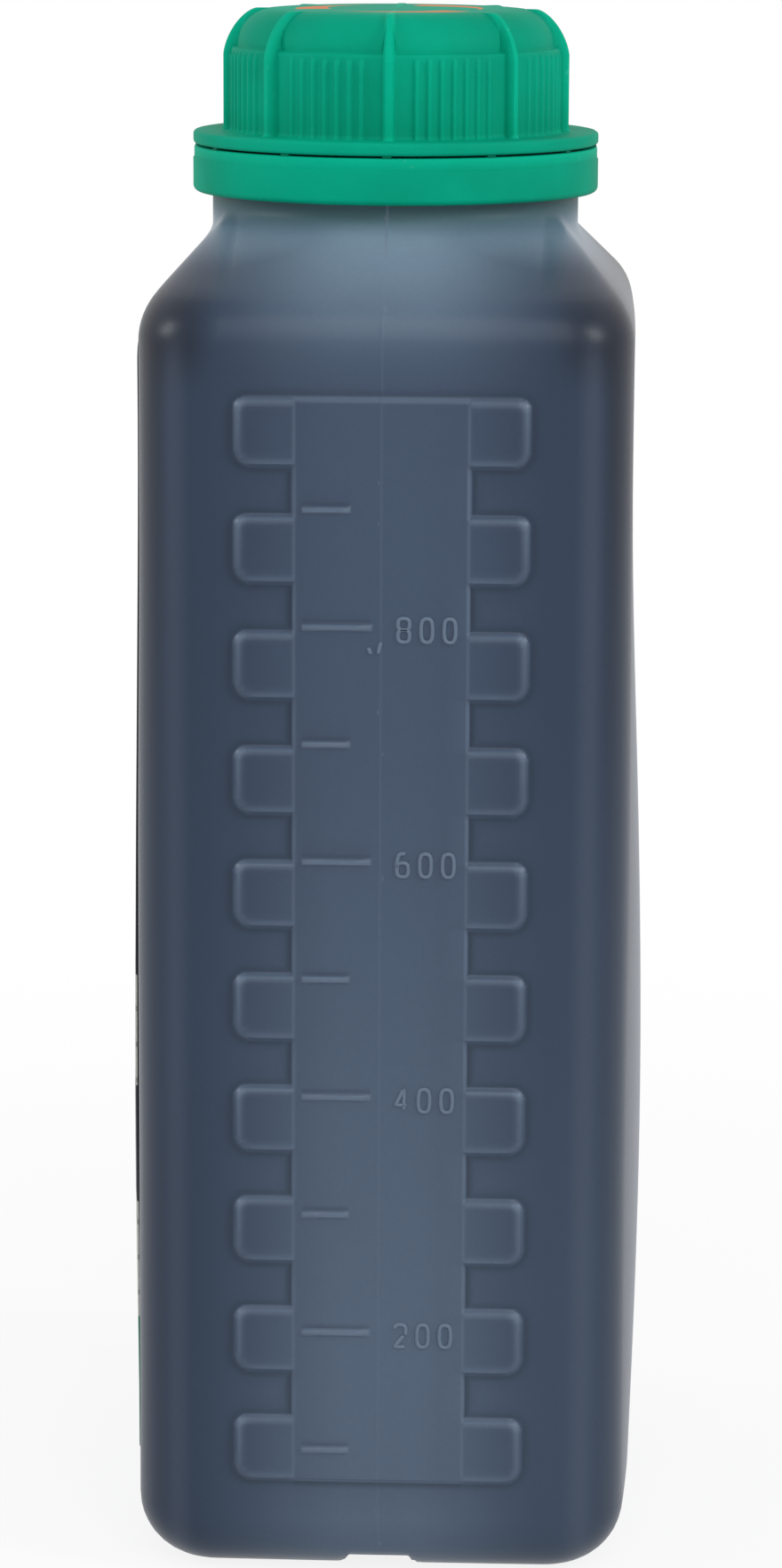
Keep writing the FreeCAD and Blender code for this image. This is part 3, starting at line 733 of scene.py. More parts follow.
def dress(thing: bpy.types.Object, material: bpy.types.Material, body: Body,
          nodes: Sequence[str] = ()) -> None:
    """Give a new piece its finish, its body and the nodes it stands for.

    Args:
        thing: the piece.
        material: its finish.
        body: the body it rides on.
        nodes: CAD nodes that it replaces.
    """
    thing.data.materials.append(material)
    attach(thing, body.value)
    if nodes:
        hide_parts(*nodes)
    LOG.info("%s: %d faces", thing.name, len(thing.data.polygons))


def paint_node(node: str, material: bpy.types.Material) -> None:
    """Give a CAD node that stays its finish.

    Args:
        node: the node's name.
        material: its finish.
    """
    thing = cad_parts[node]
    if thing.material_slots:
        thing.material_slots[0].material = material
    else:
        thing.data.materials.append(material)
    LOG.info("%s keeps its solid", node)


# Bottle

@dataclass(frozen=True)
class BottleSizes:
    """Sizes of the blown bottle."""

    heights: tuple[float, ...] = (0.0, 62.0, 117.0, 152.0, 185.57)
    widths: tuple[float, ...] = (74.2, 77.0, 74.6, 72.2, 72.0)
    crowns: tuple[float, ...] = (0.6, 2.1, 1.1, 0.25, 0.2)
    least_crown: float = 0.1
    shoulder_width: float = 72.0
    depth: float = 82.98
    front_crown: float = 0.15
    corner: float = 12.0
    foot_round: float = 9.5
    wall: float = 1.3
    floor: float = 2.4
    groove_half: float = 4.3
    groove_flare: float = 3.6
    groove_depth: float = 1.6
    groove_end: float = 3.5
    shoulder_edge: float = 187.7
    shoulder_rise: float = 13.2
    slope: float = math.radians(47.6)
    shoulder_round: float = 10.5
    hip: float = 9.0
    overrun: float = 1.04
    crease_below: float = 2.4
    crease_above: float = 1.1
    neck: float = 27.25
    neck_bore: float = 25.75
    collar_lift: float = 1.2
    collar_step: float = 0.6
    bead: float = 28.3
    bead_foot: float = 206.1
    bead_land: float = 1.1
    ledge: float = 208.7
    finish: float = 22.0
    mouth: float = 18.6
    mouth_height: float = 226.8
    mouth_foot: float = 207.4
    bore_top: float = 205.35
    lip: float = 20.7
    lip_height: float = 2.4
    seam_rise: float = 0.05
    seam_half: float = 0.22
    seam_from: float = -15.0


@dataclass(frozen=True)
class LadderSizes:
    """Sizes of the raised graduation on the front."""

    top: float = 177.2
    pitch: float = 16.83
    height: float = 10.4
    half_width: float = 21.4
    count: int = 10
    rise: float = 0.6
    upper_round: float = 2.0
    lower_round: float = 2.9
    column_half: float = 12.85
    column_rise: float = 0.7
    column_round: float = 0.4
    rim_rise: float = 0.2
    rim_half: float = 0.8
    line_half: float = 0.36
    shade_width: float = 0.9
    tick_first: float = 20.5
    tick_step: float = 18.3
    tick_closing: float = 0.092
    tick_count: int = 9
    tick_height: float = 1.3
    tick_left: float = -11.5
    tick_long: float = 10.4
    tick_short: float = 7.3
    tick_rise: float = 0.35
    tick_bevel: float = 0.4
    tick_round: float = 0.3
    rim_highlight: tuple[float, float] = (0.3, 0.5)
    gleam_pale: float = 0.4
    line_highlight: float = 0.62
    tick_pale: float = 0.56
    rung_shade: float = 0.65
    tick_shade: float = 0.45

    def foot(self) -> float:
        """Lower edge of the lowest rung."""
        return self.top - self.pitch * (self.count - 1) - self.height

    def tick_heights(self) -> Array:
        """Heights of the marks, closing up as the body widens."""
        mark = np.arange(self.tick_count)
        return self.tick_first + self.tick_step * mark - self.tick_closing * mark ** 2

    @staticmethod
    def edge_distance(x: Array, z: Array, half_width: float, half_height: float, upper: float,
                      lower: float) -> Array:
        """Distance out of a rectangle with rounded corners, less than 0 inside it.

        It is the distance past the nearest corner's centre, or inside of it the way to the nearest
        side, less the corner's radius.

        Args:
            x: across, from its middle.
            z: up, from its middle.
            half_width: half its width.
            half_height: half its height.
            upper: radius of the upper corners.
            lower: radius of the lower corners.

        Returns:
            The distance at each place.
        """
        radius = np.where(z > 0, upper, lower)
        past_x = np.abs(x) - half_width + radius
        past_z = np.abs(z) - half_height + radius
        outside = np.hypot(np.maximum(past_x, 0), np.maximum(past_z, 0))
        return outside + np.minimum(np.maximum(past_x, past_z), 0) - radius

    def edges(self, x: Array, z: Array) -> tuple[Array, Array]:
        """Distance out of the nearest rung and out of the column.

        Args:
            x: across the face.
            z: up the face.

        Returns:
            Both distances, less than 0 inside.
        """
        first = self.top - self.height / 2
        rung = np.clip(np.round((first - z) / self.pitch), 0, self.count - 1)
        from_rung = z - (first - rung * self.pitch)
        rungs = self.edge_distance(x, from_rung, self.half_width, self.height / 2, self.upper_round,
                                   self.lower_round)
        half = (self.top - self.foot()) / 2
        column = self.edge_distance(x, z - self.foot() - half, self.column_half, half,
                                    self.column_round, self.column_round)
        return rungs, column

    @staticmethod
    def rim(edge: Array, half: float) -> Array:
        """Share of the round rim just inside an edge: a bell about its middle."""
        return np.exp(-((edge + half) / (0.7 * half)) ** 2)

    def rung_rim(self, rungs: Array, column: Array) -> Array:
        """Share of the rungs' rim, which fades out inside the column."""
        return self.rim(rungs, self.rim_half) * (1 - smooth_step(-column / self.rim_half))

    def relief(self, x: Array, z: Array) -> Array:
        """Height above the face: the higher of round-rimmed rungs and flat column, plus marks.

        Args:
            x: across the face.
            z: up the face.

        Returns:
            The height at each place.
        """
        rungs, column = self.edges(x, z)
        step = self.rise * smooth_step(-rungs / self.rim_half) + self.rim_rise * self.rung_rim(rungs, column)
        band = self.column_rise * smooth_step(-column / (2 * self.line_half))
        return np.maximum(step, band) + self.tick_rise * self.ticks(x, z)

    def upper_half(self, z: Array) -> Array:
        """Share of the upper half of the nearest rung.

        Args:
            z: up the face.

        Returns:
            Numbers from 0 at the rung's foot to 1 at its top.
        """
        below_top = self.top - z
        rung = np.clip(np.round((below_top - self.height / 2) / self.pitch), 0, self.count - 1)
        return smooth_step(1 - (below_top - rung * self.pitch) / self.height)

    def gleam(self, x: Array, z: Array) -> Array:
        """Bells of light on the upper corners of the rungs, at the middle of each corner's arc.

        Args:
            x: across the face.
            z: up the face.

        Returns:
            Numbers from 0 to 1.
        """
        inset = 0.5 * self.upper_round
        rung = np.clip(np.round((self.top - inset - z) / self.pitch), 0, self.count - 1)
        from_corner = z - (self.top - inset - rung * self.pitch)
        from_end = np.abs(x) - self.half_width + inset
        return np.exp(-(from_end ** 2 + from_corner ** 2) / self.rim_half ** 2)

    def paleness(self, x: Array, z: Array) -> Array:
        """How much paler a place looks: painted highlights on rims and lines and paler marks above 0,
        painted shade at the foot of an edge and above marks below 0.

        Args:
            x: across the face.
            z: up the face.

        Returns:
            Numbers from -1 to 1.
        """
        rungs, column = self.edges(x, z)
        outside = np.minimum(rungs, column)
        low, high = self.rim_highlight
        upper = low + (high - low) * self.upper_half(z)
        # painted highlights on the rung rims, brighter on their upper halves, and gleams on their upper
        # corners
        rim = upper * self.rung_rim(rungs, column) + self.gleam_pale * self.gleam(x, z)
        beside_gap = 1 - 0.5 * smooth_step(-rungs / self.rim_half)
        # painted highlight on the column's edge lines, fainter where they cross a rung
        rim = np.maximum(rim, self.line_highlight * beside_gap * self.rim(column, self.line_half))
        # painted shade just outside the edges, and above the marks
        beside = np.where(column < rungs, 1.0, self.rung_shade)
        shade = np.where(outside > 0, beside * np.exp(-(outside / self.shade_width) ** 2), 0.0)
        marks = self.ticks(x, z)
        over = np.maximum(self.ticks(x, z - 0.6 * self.tick_height) - marks, 0.0)
        return np.clip(rim + self.tick_pale * marks - shade - self.tick_shade * over, -1.0, 1.0)

    def tick_distance(self, x: Array, z: Array) -> Array:
        """Distance out of the nearest mark.

        Args:
            x: across the face.
            z: up the face.

        Returns:
            The distance at each place, less than 0 inside.
        """
        found = np.full(np.broadcast(x, z).shape, np.inf)
        for mark, height in enumerate(self.tick_heights()):
            length = self.tick_long if mark % 2 else self.tick_short
            middle = self.tick_left + length / 2
            edge = self.edge_distance(x - middle, z - height, length / 2, self.tick_height / 2,
                                      self.tick_round, self.tick_round)
            found = np.minimum(found, edge)
        return found

    def ticks(self, x: Array, z: Array) -> Array:
        """How far each place is on a mark, from 0 to 1."""
        return smooth_step(-self.tick_distance(x, z) / self.tick_bevel)

    def rows(self) -> Array:
        """Heights at which the relief needs a row of points: close together near each edge.

        Returns:
            The heights, unsorted.
        """
        tops = self.top - self.pitch * np.arange(self.count)
        near_top = np.array([-2.2, -1.6, -1.1, -0.75, -0.45, -0.15, 0.1, 0.5, 1.1])
        near_foot = np.array([-1.1, -0.5, -0.1, 0.15, 0.45, 0.75, 1.1, 1.7, 2.6]) - self.height
        near_tick = np.array([-1.0, -0.65, -0.45, -0.25, 0.25, 0.45, 0.65, 1.0, 1.3])
        rungs = np.concatenate([near_top, near_foot])
        zones = [tops[:, None] + rungs, self.tick_heights()[:, None] + near_tick]
        return np.concatenate([zone.ravel() for zone in zones])

    def columns(self) -> Array:
        """Places across at which the relief needs a column of points: close together near each edge.

        Returns:
            The places, unsorted.
        """
        near_end = np.array([-2.8, -2.1, -1.5, -1.05, -0.7, -0.4, -0.1, 0.2, 0.6, 1.1])
        near_band = np.array([-0.7, -0.5, -0.3, -0.1, 0.05, 0.35, 0.75, 1.2])
        rung_end = self.half_width + near_end
        column_edge = self.column_half + near_band
        ends = self.tick_left + np.array([0.0, self.tick_short, self.tick_long])
        tick_ends = (ends[:, None] + np.array([-0.3, -0.1, 0.1, 0.3])).ravel()
        both = np.concatenate([rung_end, column_edge])
        return np.concatenate([both, -both, tick_ends])


@dataclass
class Bottle:
    """The blown bottle with its graduation, numerals and neck thread."""

    sizes: BottleSizes = BottleSizes()
    ladder: LadderSizes = LadderSizes()

    SIDE_COLUMNS = 13
    CORNER_COLUMNS = 9
    BASE_ROWS = 5
    FOOT_ROWS = 11
    WALL_ROWS = 28
    LINING_ROWS = 24
    BEND_ROWS = 9
    SLOPE_ROWS = 9
    CREASE_ROWS = 8
    OUTER_SHARES = np.array([0.25, 0.5, 0.75, 1.0])
    SEAM_SHARES = np.array([-2.4, -1.2, 0.0, 1.2, 2.4])
    EXTRA_PLACES = np.array([2.6, 9.0, 15.0, 17.0])
    KEEP = 23.0
    KEEP_SPARE = 1.1
    FOOT_GAP = 0.05
    ROW_GAP = 0.04
    CORNER_FADE = (0.1, 0.83)
    NUMERAL_PALE = 0.72

    def __post_init__(self) -> None:
        """Work out the front's place and the columns of points across it."""
        self.front = self.sizes.depth / 2
        seam = self.sizes.seam_half * self.SEAM_SHARES
        flare = self.sizes.groove_half + self.sizes.groove_flare * np.linspace(0.0, 1.0, 6)
        between = np.concatenate([flare, self.EXTRA_PLACES, [self.KEEP]])
        every = np.concatenate([self.ladder.columns(), seam, between, -between])
        self.front_places = np.unique(np.round(every, 3))

    @staticmethod
    def swell(chord: float, crown: Array) -> Array:
        """Radius of a flat arc over half a chord: chord squared over twice the crown."""
        return chord * chord / (2 * crown)

    def loops(self, half_width: Array, half_depth: Array, side: Array, front: Array,
              corner: Array) -> Array:
        """Rounded rectangles whose sides swell in flat arcs, eight tangent arcs to a loop.

        The corner circle's centre lies one corner radius inside both the side's and the front's
        circle, so it is where two circles of the reduced radii cross.

        Args:
            half_width: half width of each loop.
            half_depth: half depth of each loop.
            side: radius of the side arcs.
            front: radius of the front and back arcs.
            corner: radius of the corners.

        Returns:
            Points in plan, one row for each loop, counter-clockwise from above.
        """
        each = (half_width, half_depth, side, front, corner)
        half_width, half_depth, side, front, corner = (values[:, None] for values in each)
        side_middle = half_width - side
        front_middle = half_depth - front
        apart = np.hypot(side_middle, front_middle)
        along = ((side - corner) ** 2 - (front - corner) ** 2 + apart ** 2) / (2 * apart)
        across = np.sqrt(np.maximum((side - corner) ** 2 - along ** 2, 0.0))
        step_x, step_y = -side_middle / apart, front_middle / apart
        foot_x, foot_y = side_middle + step_x * along, step_y * along
        one = np.stack([foot_x - step_y * across, foot_y + step_x * across])
        two = np.stack([foot_x + step_y * across, foot_y - step_x * across])
        x, y = np.where(one.sum(axis=0) > two.sum(axis=0), one, two)
        low = np.arctan2(y, x - side_middle)
        high = np.arctan2(y - front_middle, x)
        end = front * np.cos(high)
        squeeze = np.minimum(1.0, end / (self.KEEP + self.KEEP_SPARE))
        kept = self.front_places * squeeze
        outer = self.KEEP * squeeze + self.OUTER_SHARES * (end - self.KEEP * squeeze)
        places = np.concatenate([-outer[:, ::-1], kept, outer], axis=1)
        sag = front_middle + np.sqrt(front ** 2 - places ** 2)
        share = np.linspace(0.0, 1.0, self.CORNER_COLUMNS + 2)[1:-1]
        turn = low + (high - low) * share
        corner_x = x + corner * np.cos(turn)
        corner_y = y + corner * np.sin(turn)
        swing = low * np.linspace(-1.0, 1.0, self.SIDE_COLUMNS)
        side_x = side_middle + side * np.cos(swing)
        side_y = side * np.sin(swing)
        plan_x = [places, corner_x[:, ::-1], side_x, corner_x, places[:, ::-1], -corner_x[:, ::-1],
                  -side_x, -corner_x]
        plan_y = [-sag, -corner_y[:, ::-1], side_y, corner_y, sag, corner_y[:, ::-1],
                  -side_y, -corner_y]
        return np.stack([np.concatenate(plan_x, axis=1), np.concatenate(plan_y, axis=1)], axis=2)

    def wall_loops(self, heights: Array, inset: Array, offset: float) -> Array:
        """Loops of the upright walls, moved inwards by the inset and the offset.

        Args:
            heights: height of each loop.
            inset: extra move inwards of each loop, for the foot rounding.
            offset: move inwards of all loops, for the inner face.

        Returns:
            Points in plan.
        """
        sizes = self.sizes
        knots = np.array(sizes.heights)
        half_width = natural_spline(knots, np.array(sizes.widths) / 2, heights)
        crown = natural_spline(knots, np.array(sizes.crowns), heights)
        side = self.swell(self.front - sizes.corner, np.maximum(crown, sizes.least_crown))
        flat = self.swell(sizes.shoulder_width / 2 - sizes.corner, np.full_like(heights, sizes.front_crown))
        move = inset + offset
        return self.loops(half_width - move, self.front - move, side - move, flat - move,
                          sizes.corner - move)

    def shoulder_loops(self, run: Array, offset: float) -> Array:
        """Loops of the shoulder after a run inwards; the front bends from flat to the neck's curve.

        Args:
            run: move inwards of each loop above the label faces.
            offset: move inwards of all loops, for the inner face.

        Returns:
            Points in plan.
        """
        sizes = self.sizes
        share = run / (sizes.shoulder_rise / math.tan(sizes.slope))
        depth = self.front - (self.front - sizes.neck) * share
        corner = sizes.corner - (sizes.corner - sizes.hip) * share
        side = self.swell(self.front - sizes.corner, np.full_like(run, sizes.crowns[-1]))
        flat = self.swell(sizes.shoulder_width / 2 - sizes.corner, np.full_like(run, sizes.front_crown))
        front = 1 / (1 / flat + (1 / sizes.neck - 1 / flat) * share ** 2)
        half_width = sizes.shoulder_width / 2 - run
        return self.loops(half_width - offset, depth - offset, side - offset, front - offset,
                          corner - offset)

    @staticmethod
    def lifted(plan: Array, heights: Array) -> Array:
        """Plan points raised to the height of their row."""
        level = np.broadcast_to(np.reshape(heights, (-1, 1)), plan.shape[:2])
        return np.concatenate([plan, level[:, :, None]], axis=2)

    def base_and_walls(self, heights: Array, floor: float, offset: float) -> Array:
        """Base, foot rounding and walls as one run of rows from the middle of the base upwards.

        The foot rounding is a quarter circle: inset r (1 - sin a) at height r (1 - cos a). The
        base closes on its middle line, where the front half meets the back half.

        Args:
            heights: rows of the upright wall.
            floor: height of the base.
            offset: move inwards of all rows.

        Returns:
            Grid of points.
        """
        radius = self.sizes.foot_round - offset
        angle = np.linspace(0.0, math.pi / 2, self.FOOT_ROWS)
        lift = floor + radius * (1 - np.cos(angle))
        foot = self.lifted(self.wall_loops(lift, radius * (1 - np.sin(angle)), offset), lift)
        shares = np.linspace(0.0, 1.0, self.BASE_ROWS)[:-1]
        base = np.repeat(foot[:1], len(shares), axis=0)
        base[:, :, 1] *= shares[:, None]
        above = heights[heights > lift[-1] + self.FOOT_GAP]
        walls = self.lifted(self.wall_loops(above, np.zeros_like(above), offset), above)
        return np.concatenate([base, foot, walls])

    def shoulder_and_slope(self, offset: float, reach: float) -> Array:
        """Rounded shoulder, then straight slopes that end where they meet a round neck.

        Each column of the slope is a straight line; its end solves |start + t step| = reach.

        Args:
            offset: move inwards of all rows.
            reach: radius of the neck that ends the slopes.

        Returns:
            Grid of points, from the wall's top to the neck.
        """
        sizes = self.sizes
        turn = math.pi / 2 - sizes.slope
        radius = sizes.shoulder_round - offset
        edge = sizes.shoulder_edge - offset * (1 - math.sin(sizes.slope)) / math.cos(sizes.slope)
        top = edge - radius * math.tan(turn / 2)
        angle = np.linspace(0.0, turn, self.BEND_ROWS)
        run = radius * (1 - np.cos(angle))
        lift = top + radius * np.sin(angle)
        bend = self.lifted(self.shoulder_loops(run, offset), lift)
        last = sizes.shoulder_rise / math.tan(sizes.slope) * sizes.overrun
        head = self.lifted(self.shoulder_loops(np.array([last]), offset),
                           np.array([lift[-1] + (last - run[-1]) * math.tan(sizes.slope)]))[0]
        start = bend[-1]
        step = head - start
        square = (step[:, :2] ** 2).sum(axis=1)
        cross = (start[:, :2] * step[:, :2]).sum(axis=1)
        gap = (start[:, :2] ** 2).sum(axis=1) - reach ** 2
        meet = (-cross - np.sqrt(np.maximum(cross ** 2 - square * gap, 0.0))) / square
        share = np.linspace(0.0, 1.0, self.SLOPE_ROWS)[1:, None, None]
        slope = start + share * meet[:, None] * step
        return np.concatenate([bend, slope])

    def soft_crease(self, slopes: Array) -> Array:
        """Ease the slopes into the upright neck.

        The last row gives way to a curve (1 - t)^2 a + 2 t (1 - t) p + t^2 b, where p is the sharp
        crease, a lies down the slope and b up the neck.

        Args:
            slopes: rows of the shoulder that end on the neck.

        Returns:
            The rows with the curve at their end.
        """
        sizes = self.sizes
        crease = slopes[-1]
        back = slopes[-3] - crease
        below = crease + back / np.linalg.norm(back, axis=1, keepdims=True) * sizes.crease_below
        above = crease + np.array([0.0, 0.0, sizes.crease_above])
        share = np.linspace(0.0, 1.0, self.CREASE_ROWS)[:, None, None]
        curve = (1 - share) ** 2 * below + 2 * share * (1 - share) * crease + share ** 2 * above
        return np.concatenate([slopes[:-2], curve])

    def neck_rows(self, ring: Array, profile: Array) -> Array:
        """Rows of the neck: the directions of a ring of points, scaled to each (r, z) of a profile.

        Args:
            ring: points round the neck.
            profile: (r, z) points.

        Returns:
            Grid of points, one row for each profile point.
        """
        way = ring[:, :2] / np.linalg.norm(ring[:, :2], axis=1, keepdims=True)
        plan = profile[:, None, :1] * way[None]
        return self.lifted(plan, profile[:, 1])

    def moulded_marks(self, grid: Array) -> Array:
        """Raise the graduation and the parting seam, and press the groove into the base.

        The seam is a bell, exp(-(x / w) squared). The groove gets deeper over the foot rounding, and
        its depth is multiplied by the square of a ramp from 1 at its sides to 0 past its flare.

        Args:
            grid: rows of the outer face, changed in place.

        Returns:
            How much paler or darker each point looks for it, from -1 to 1: painted highlight and painted
            shade.
        """
        sizes = self.sizes
        x, y, z = grid[:, :, 0], grid[:, :, 1], grid[:, :, 2]
        count = len(self.front_places) + 2 * len(self.OUTER_SHARES)
        front = np.zeros(grid.shape[:2], dtype=bool)
        front[:, :count] = True
        on_wall = front & (z > sizes.foot_round) & (z < self.ladder.top + self.ladder.rim_half * 3)
        height = np.where(on_wall, self.ladder.relief(x, z), 0.0)
        pale = np.where(on_wall, self.ladder.paleness(x, z), 0.0)
        seam = np.exp(-(x / sizes.seam_half) ** 2) * sizes.seam_rise
        grid[:, :, 1] -= np.where(y < sizes.seam_from, seam, 0.0) + height
        groove = (sizes.groove_half + sizes.groove_flare - np.abs(x)) / sizes.groove_flare
        groove = np.clip(groove, 0.0, 1.0)
        to_end = np.clip((np.abs(y) - self.front) / sizes.foot_round + 1.0, 0.0, 1.0)
        depth = sizes.groove_depth + (sizes.groove_end - sizes.groove_depth) * to_end
        grid[:, :, 2] = np.maximum(z, np.where(z < sizes.groove_end, groove ** 2 * depth, z))
        return pale

    def shell(self) -> tuple[Array, dict[str, Array]]:
        """The whole wall: outer face up to the mouth, over the lip and down the inner face.

        Returns:
            The grid, and its marks for the finish.
        """
        sizes = self.sizes
        even = np.linspace(sizes.foot_round, sizes.heights[-1], self.WALL_ROWS)[:-1]
        fine = self.ladder.rows()
        heights = np.sort(np.concatenate([even, fine[fine > sizes.foot_round]]))
        heights = heights[np.concatenate([[True], np.diff(heights) > self.ROW_GAP])]
        outer = self.base_and_walls(heights, 0.0, 0.0)
        slopes = self.soft_crease(self.shoulder_and_slope(0.0, sizes.neck))
        outer = np.concatenate([outer, slopes])
        pale = self.moulded_marks(outer)
        crease = slopes[-1]
        collar = sizes.shoulder_edge + sizes.shoulder_rise + sizes.collar_lift
        inner_collar = collar + sizes.collar_step
        finish_top = sizes.mouth_height - sizes.lip_height
        neck = rounded([
            (sizes.neck, collar, 0.0),
            (sizes.neck, sizes.bead_foot, 0.2),
            (sizes.bead, sizes.bead_foot, 0.3),
            (sizes.bead, sizes.bead_foot + sizes.bead_land, 0.4),
            (sizes.neck_bore, sizes.ledge, 0.4),
            (sizes.finish, sizes.ledge, 0.6),
            (sizes.finish, finish_top, 0.5),
            (sizes.lip, sizes.mouth_height, 0.5),
            (sizes.mouth, sizes.mouth_height, 0.3),
            (sizes.mouth, sizes.mouth_foot, 0.8),
            (sizes.neck_bore, sizes.bore_top, 0.6),
            (sizes.neck_bore, inner_collar, 0.0),
        ], 4)
        tube = self.neck_rows(crease, neck)
        inner_slopes = self.shoulder_and_slope(sizes.wall, sizes.neck_bore)
        inner_heights = np.linspace(sizes.floor, sizes.heights[-1], self.LINING_ROWS)[:-1]
        inner = self.base_and_walls(inner_heights, sizes.floor, sizes.wall)
        lining = np.concatenate([inner, inner_slopes])[::-1]
        grid = np.concatenate([outer, tube, lining])
        plain = np.zeros((len(tube) + len(lining), grid.shape[1]))
        return grid, {
            "pale": np.concatenate([pale, plain]),
            "near_corner": self.near_corner(grid),
        }

    def near_corner(self, grid: Array) -> Array:
        """How near each point is to an upright corner: the product of smooth steps along both faces.

        Args:
            grid: rows of points.

        Returns:
            Numbers from 0 mid-face to 1 at the corner.
        """
        start, end = self.CORNER_FADE
        run = end - start
        half_width = self.sizes.shoulder_width / 2
        along_front = smooth_step((np.abs(grid[:, :, 0]) / half_width - start) / run)
        along_side = smooth_step((np.abs(grid[:, :, 1]) / self.front - start) / run)
        return along_front * along_side

    def numerals(self) -> list[Array]:
        """Numbers of hundreds beside the long marks, one above the other, and the small open mark.

        Returns:
            One grid of points for each stroke.
        """
        writer = Numerals()
        face = -(self.front + self.ladder.column_rise)
        heights = self.ladder.tick_heights()[1::2]
        grids = []
        for hundreds, height in zip((2, 4, 6, 8), heights):
            grids.extend(writer.number((hundreds, 0, 0), height, face))
        grids.extend(writer.notch(heights[-1], face))
        return grids

    def thread(self) -> Array:
        """Neck thread, a bead on a helix."""
        return helix(ThreadSizes(radius=self.sizes.finish, outward=1.0, start=213.2, turns=1.6, rise=0.85))

    def build(self, wall: bpy.types.Material) -> None:
        """Make the bottle's pieces and dress them.

        Args:
            wall: the finish.
        """
        grid, marks = self.shell()
        shell = grid_object("bottle_shell", [grid], marks)
        dress(shell, wall, Body.BOTTLE, ["bottle_body"])
        numerals = grid_object("bottle_numerals", self.numerals(), {"pale": self.NUMERAL_PALE})
        dress(numerals, wall, Body.BOTTLE)
        thread = grid_object("neck_thread", [self.thread()], {"pale": 0.0})
        dress(thread, wall, Body.BOTTLE)


@dataclass(frozen=True)
class ThreadSizes:
    """Sizes of one screw thread."""

    radius: float
    outward: float
    start: float
    turns: float
    rise: float
    pitch: float = 6.0
    half_width: float = 1.0
    taper: float = math.radians(24.0)


def helix(sizes: ThreadSizes) -> Array:
    """Thread ridge: a bead along (r cos a, r sin a, start + pitch a / turn), tapered at its ends.

    Args:
        sizes: the thread's sizes.

    Returns:
        Grid of points.
    """
    angle = np.linspace(0.0, 2 * math.pi * sizes.turns, HELIX_ROWS)
    out = np.stack([np.cos(angle), np.sin(angle), np.zeros_like(angle)], axis=1)
    path = out * sizes.radius
    path[:, 2] = sizes.start + sizes.pitch * angle / (2 * math.pi)
    across = np.broadcast_to(np.array([0.0, 0.0, -sizes.outward]), path.shape)
    from_end = np.minimum(angle, angle[-1] - angle)
    swell = np.sqrt(np.clip(from_end / sizes.taper, 0.0, 1.0))
    return bead(path, across, out * sizes.outward, sizes.half_width * swell, sizes.rise * swell)


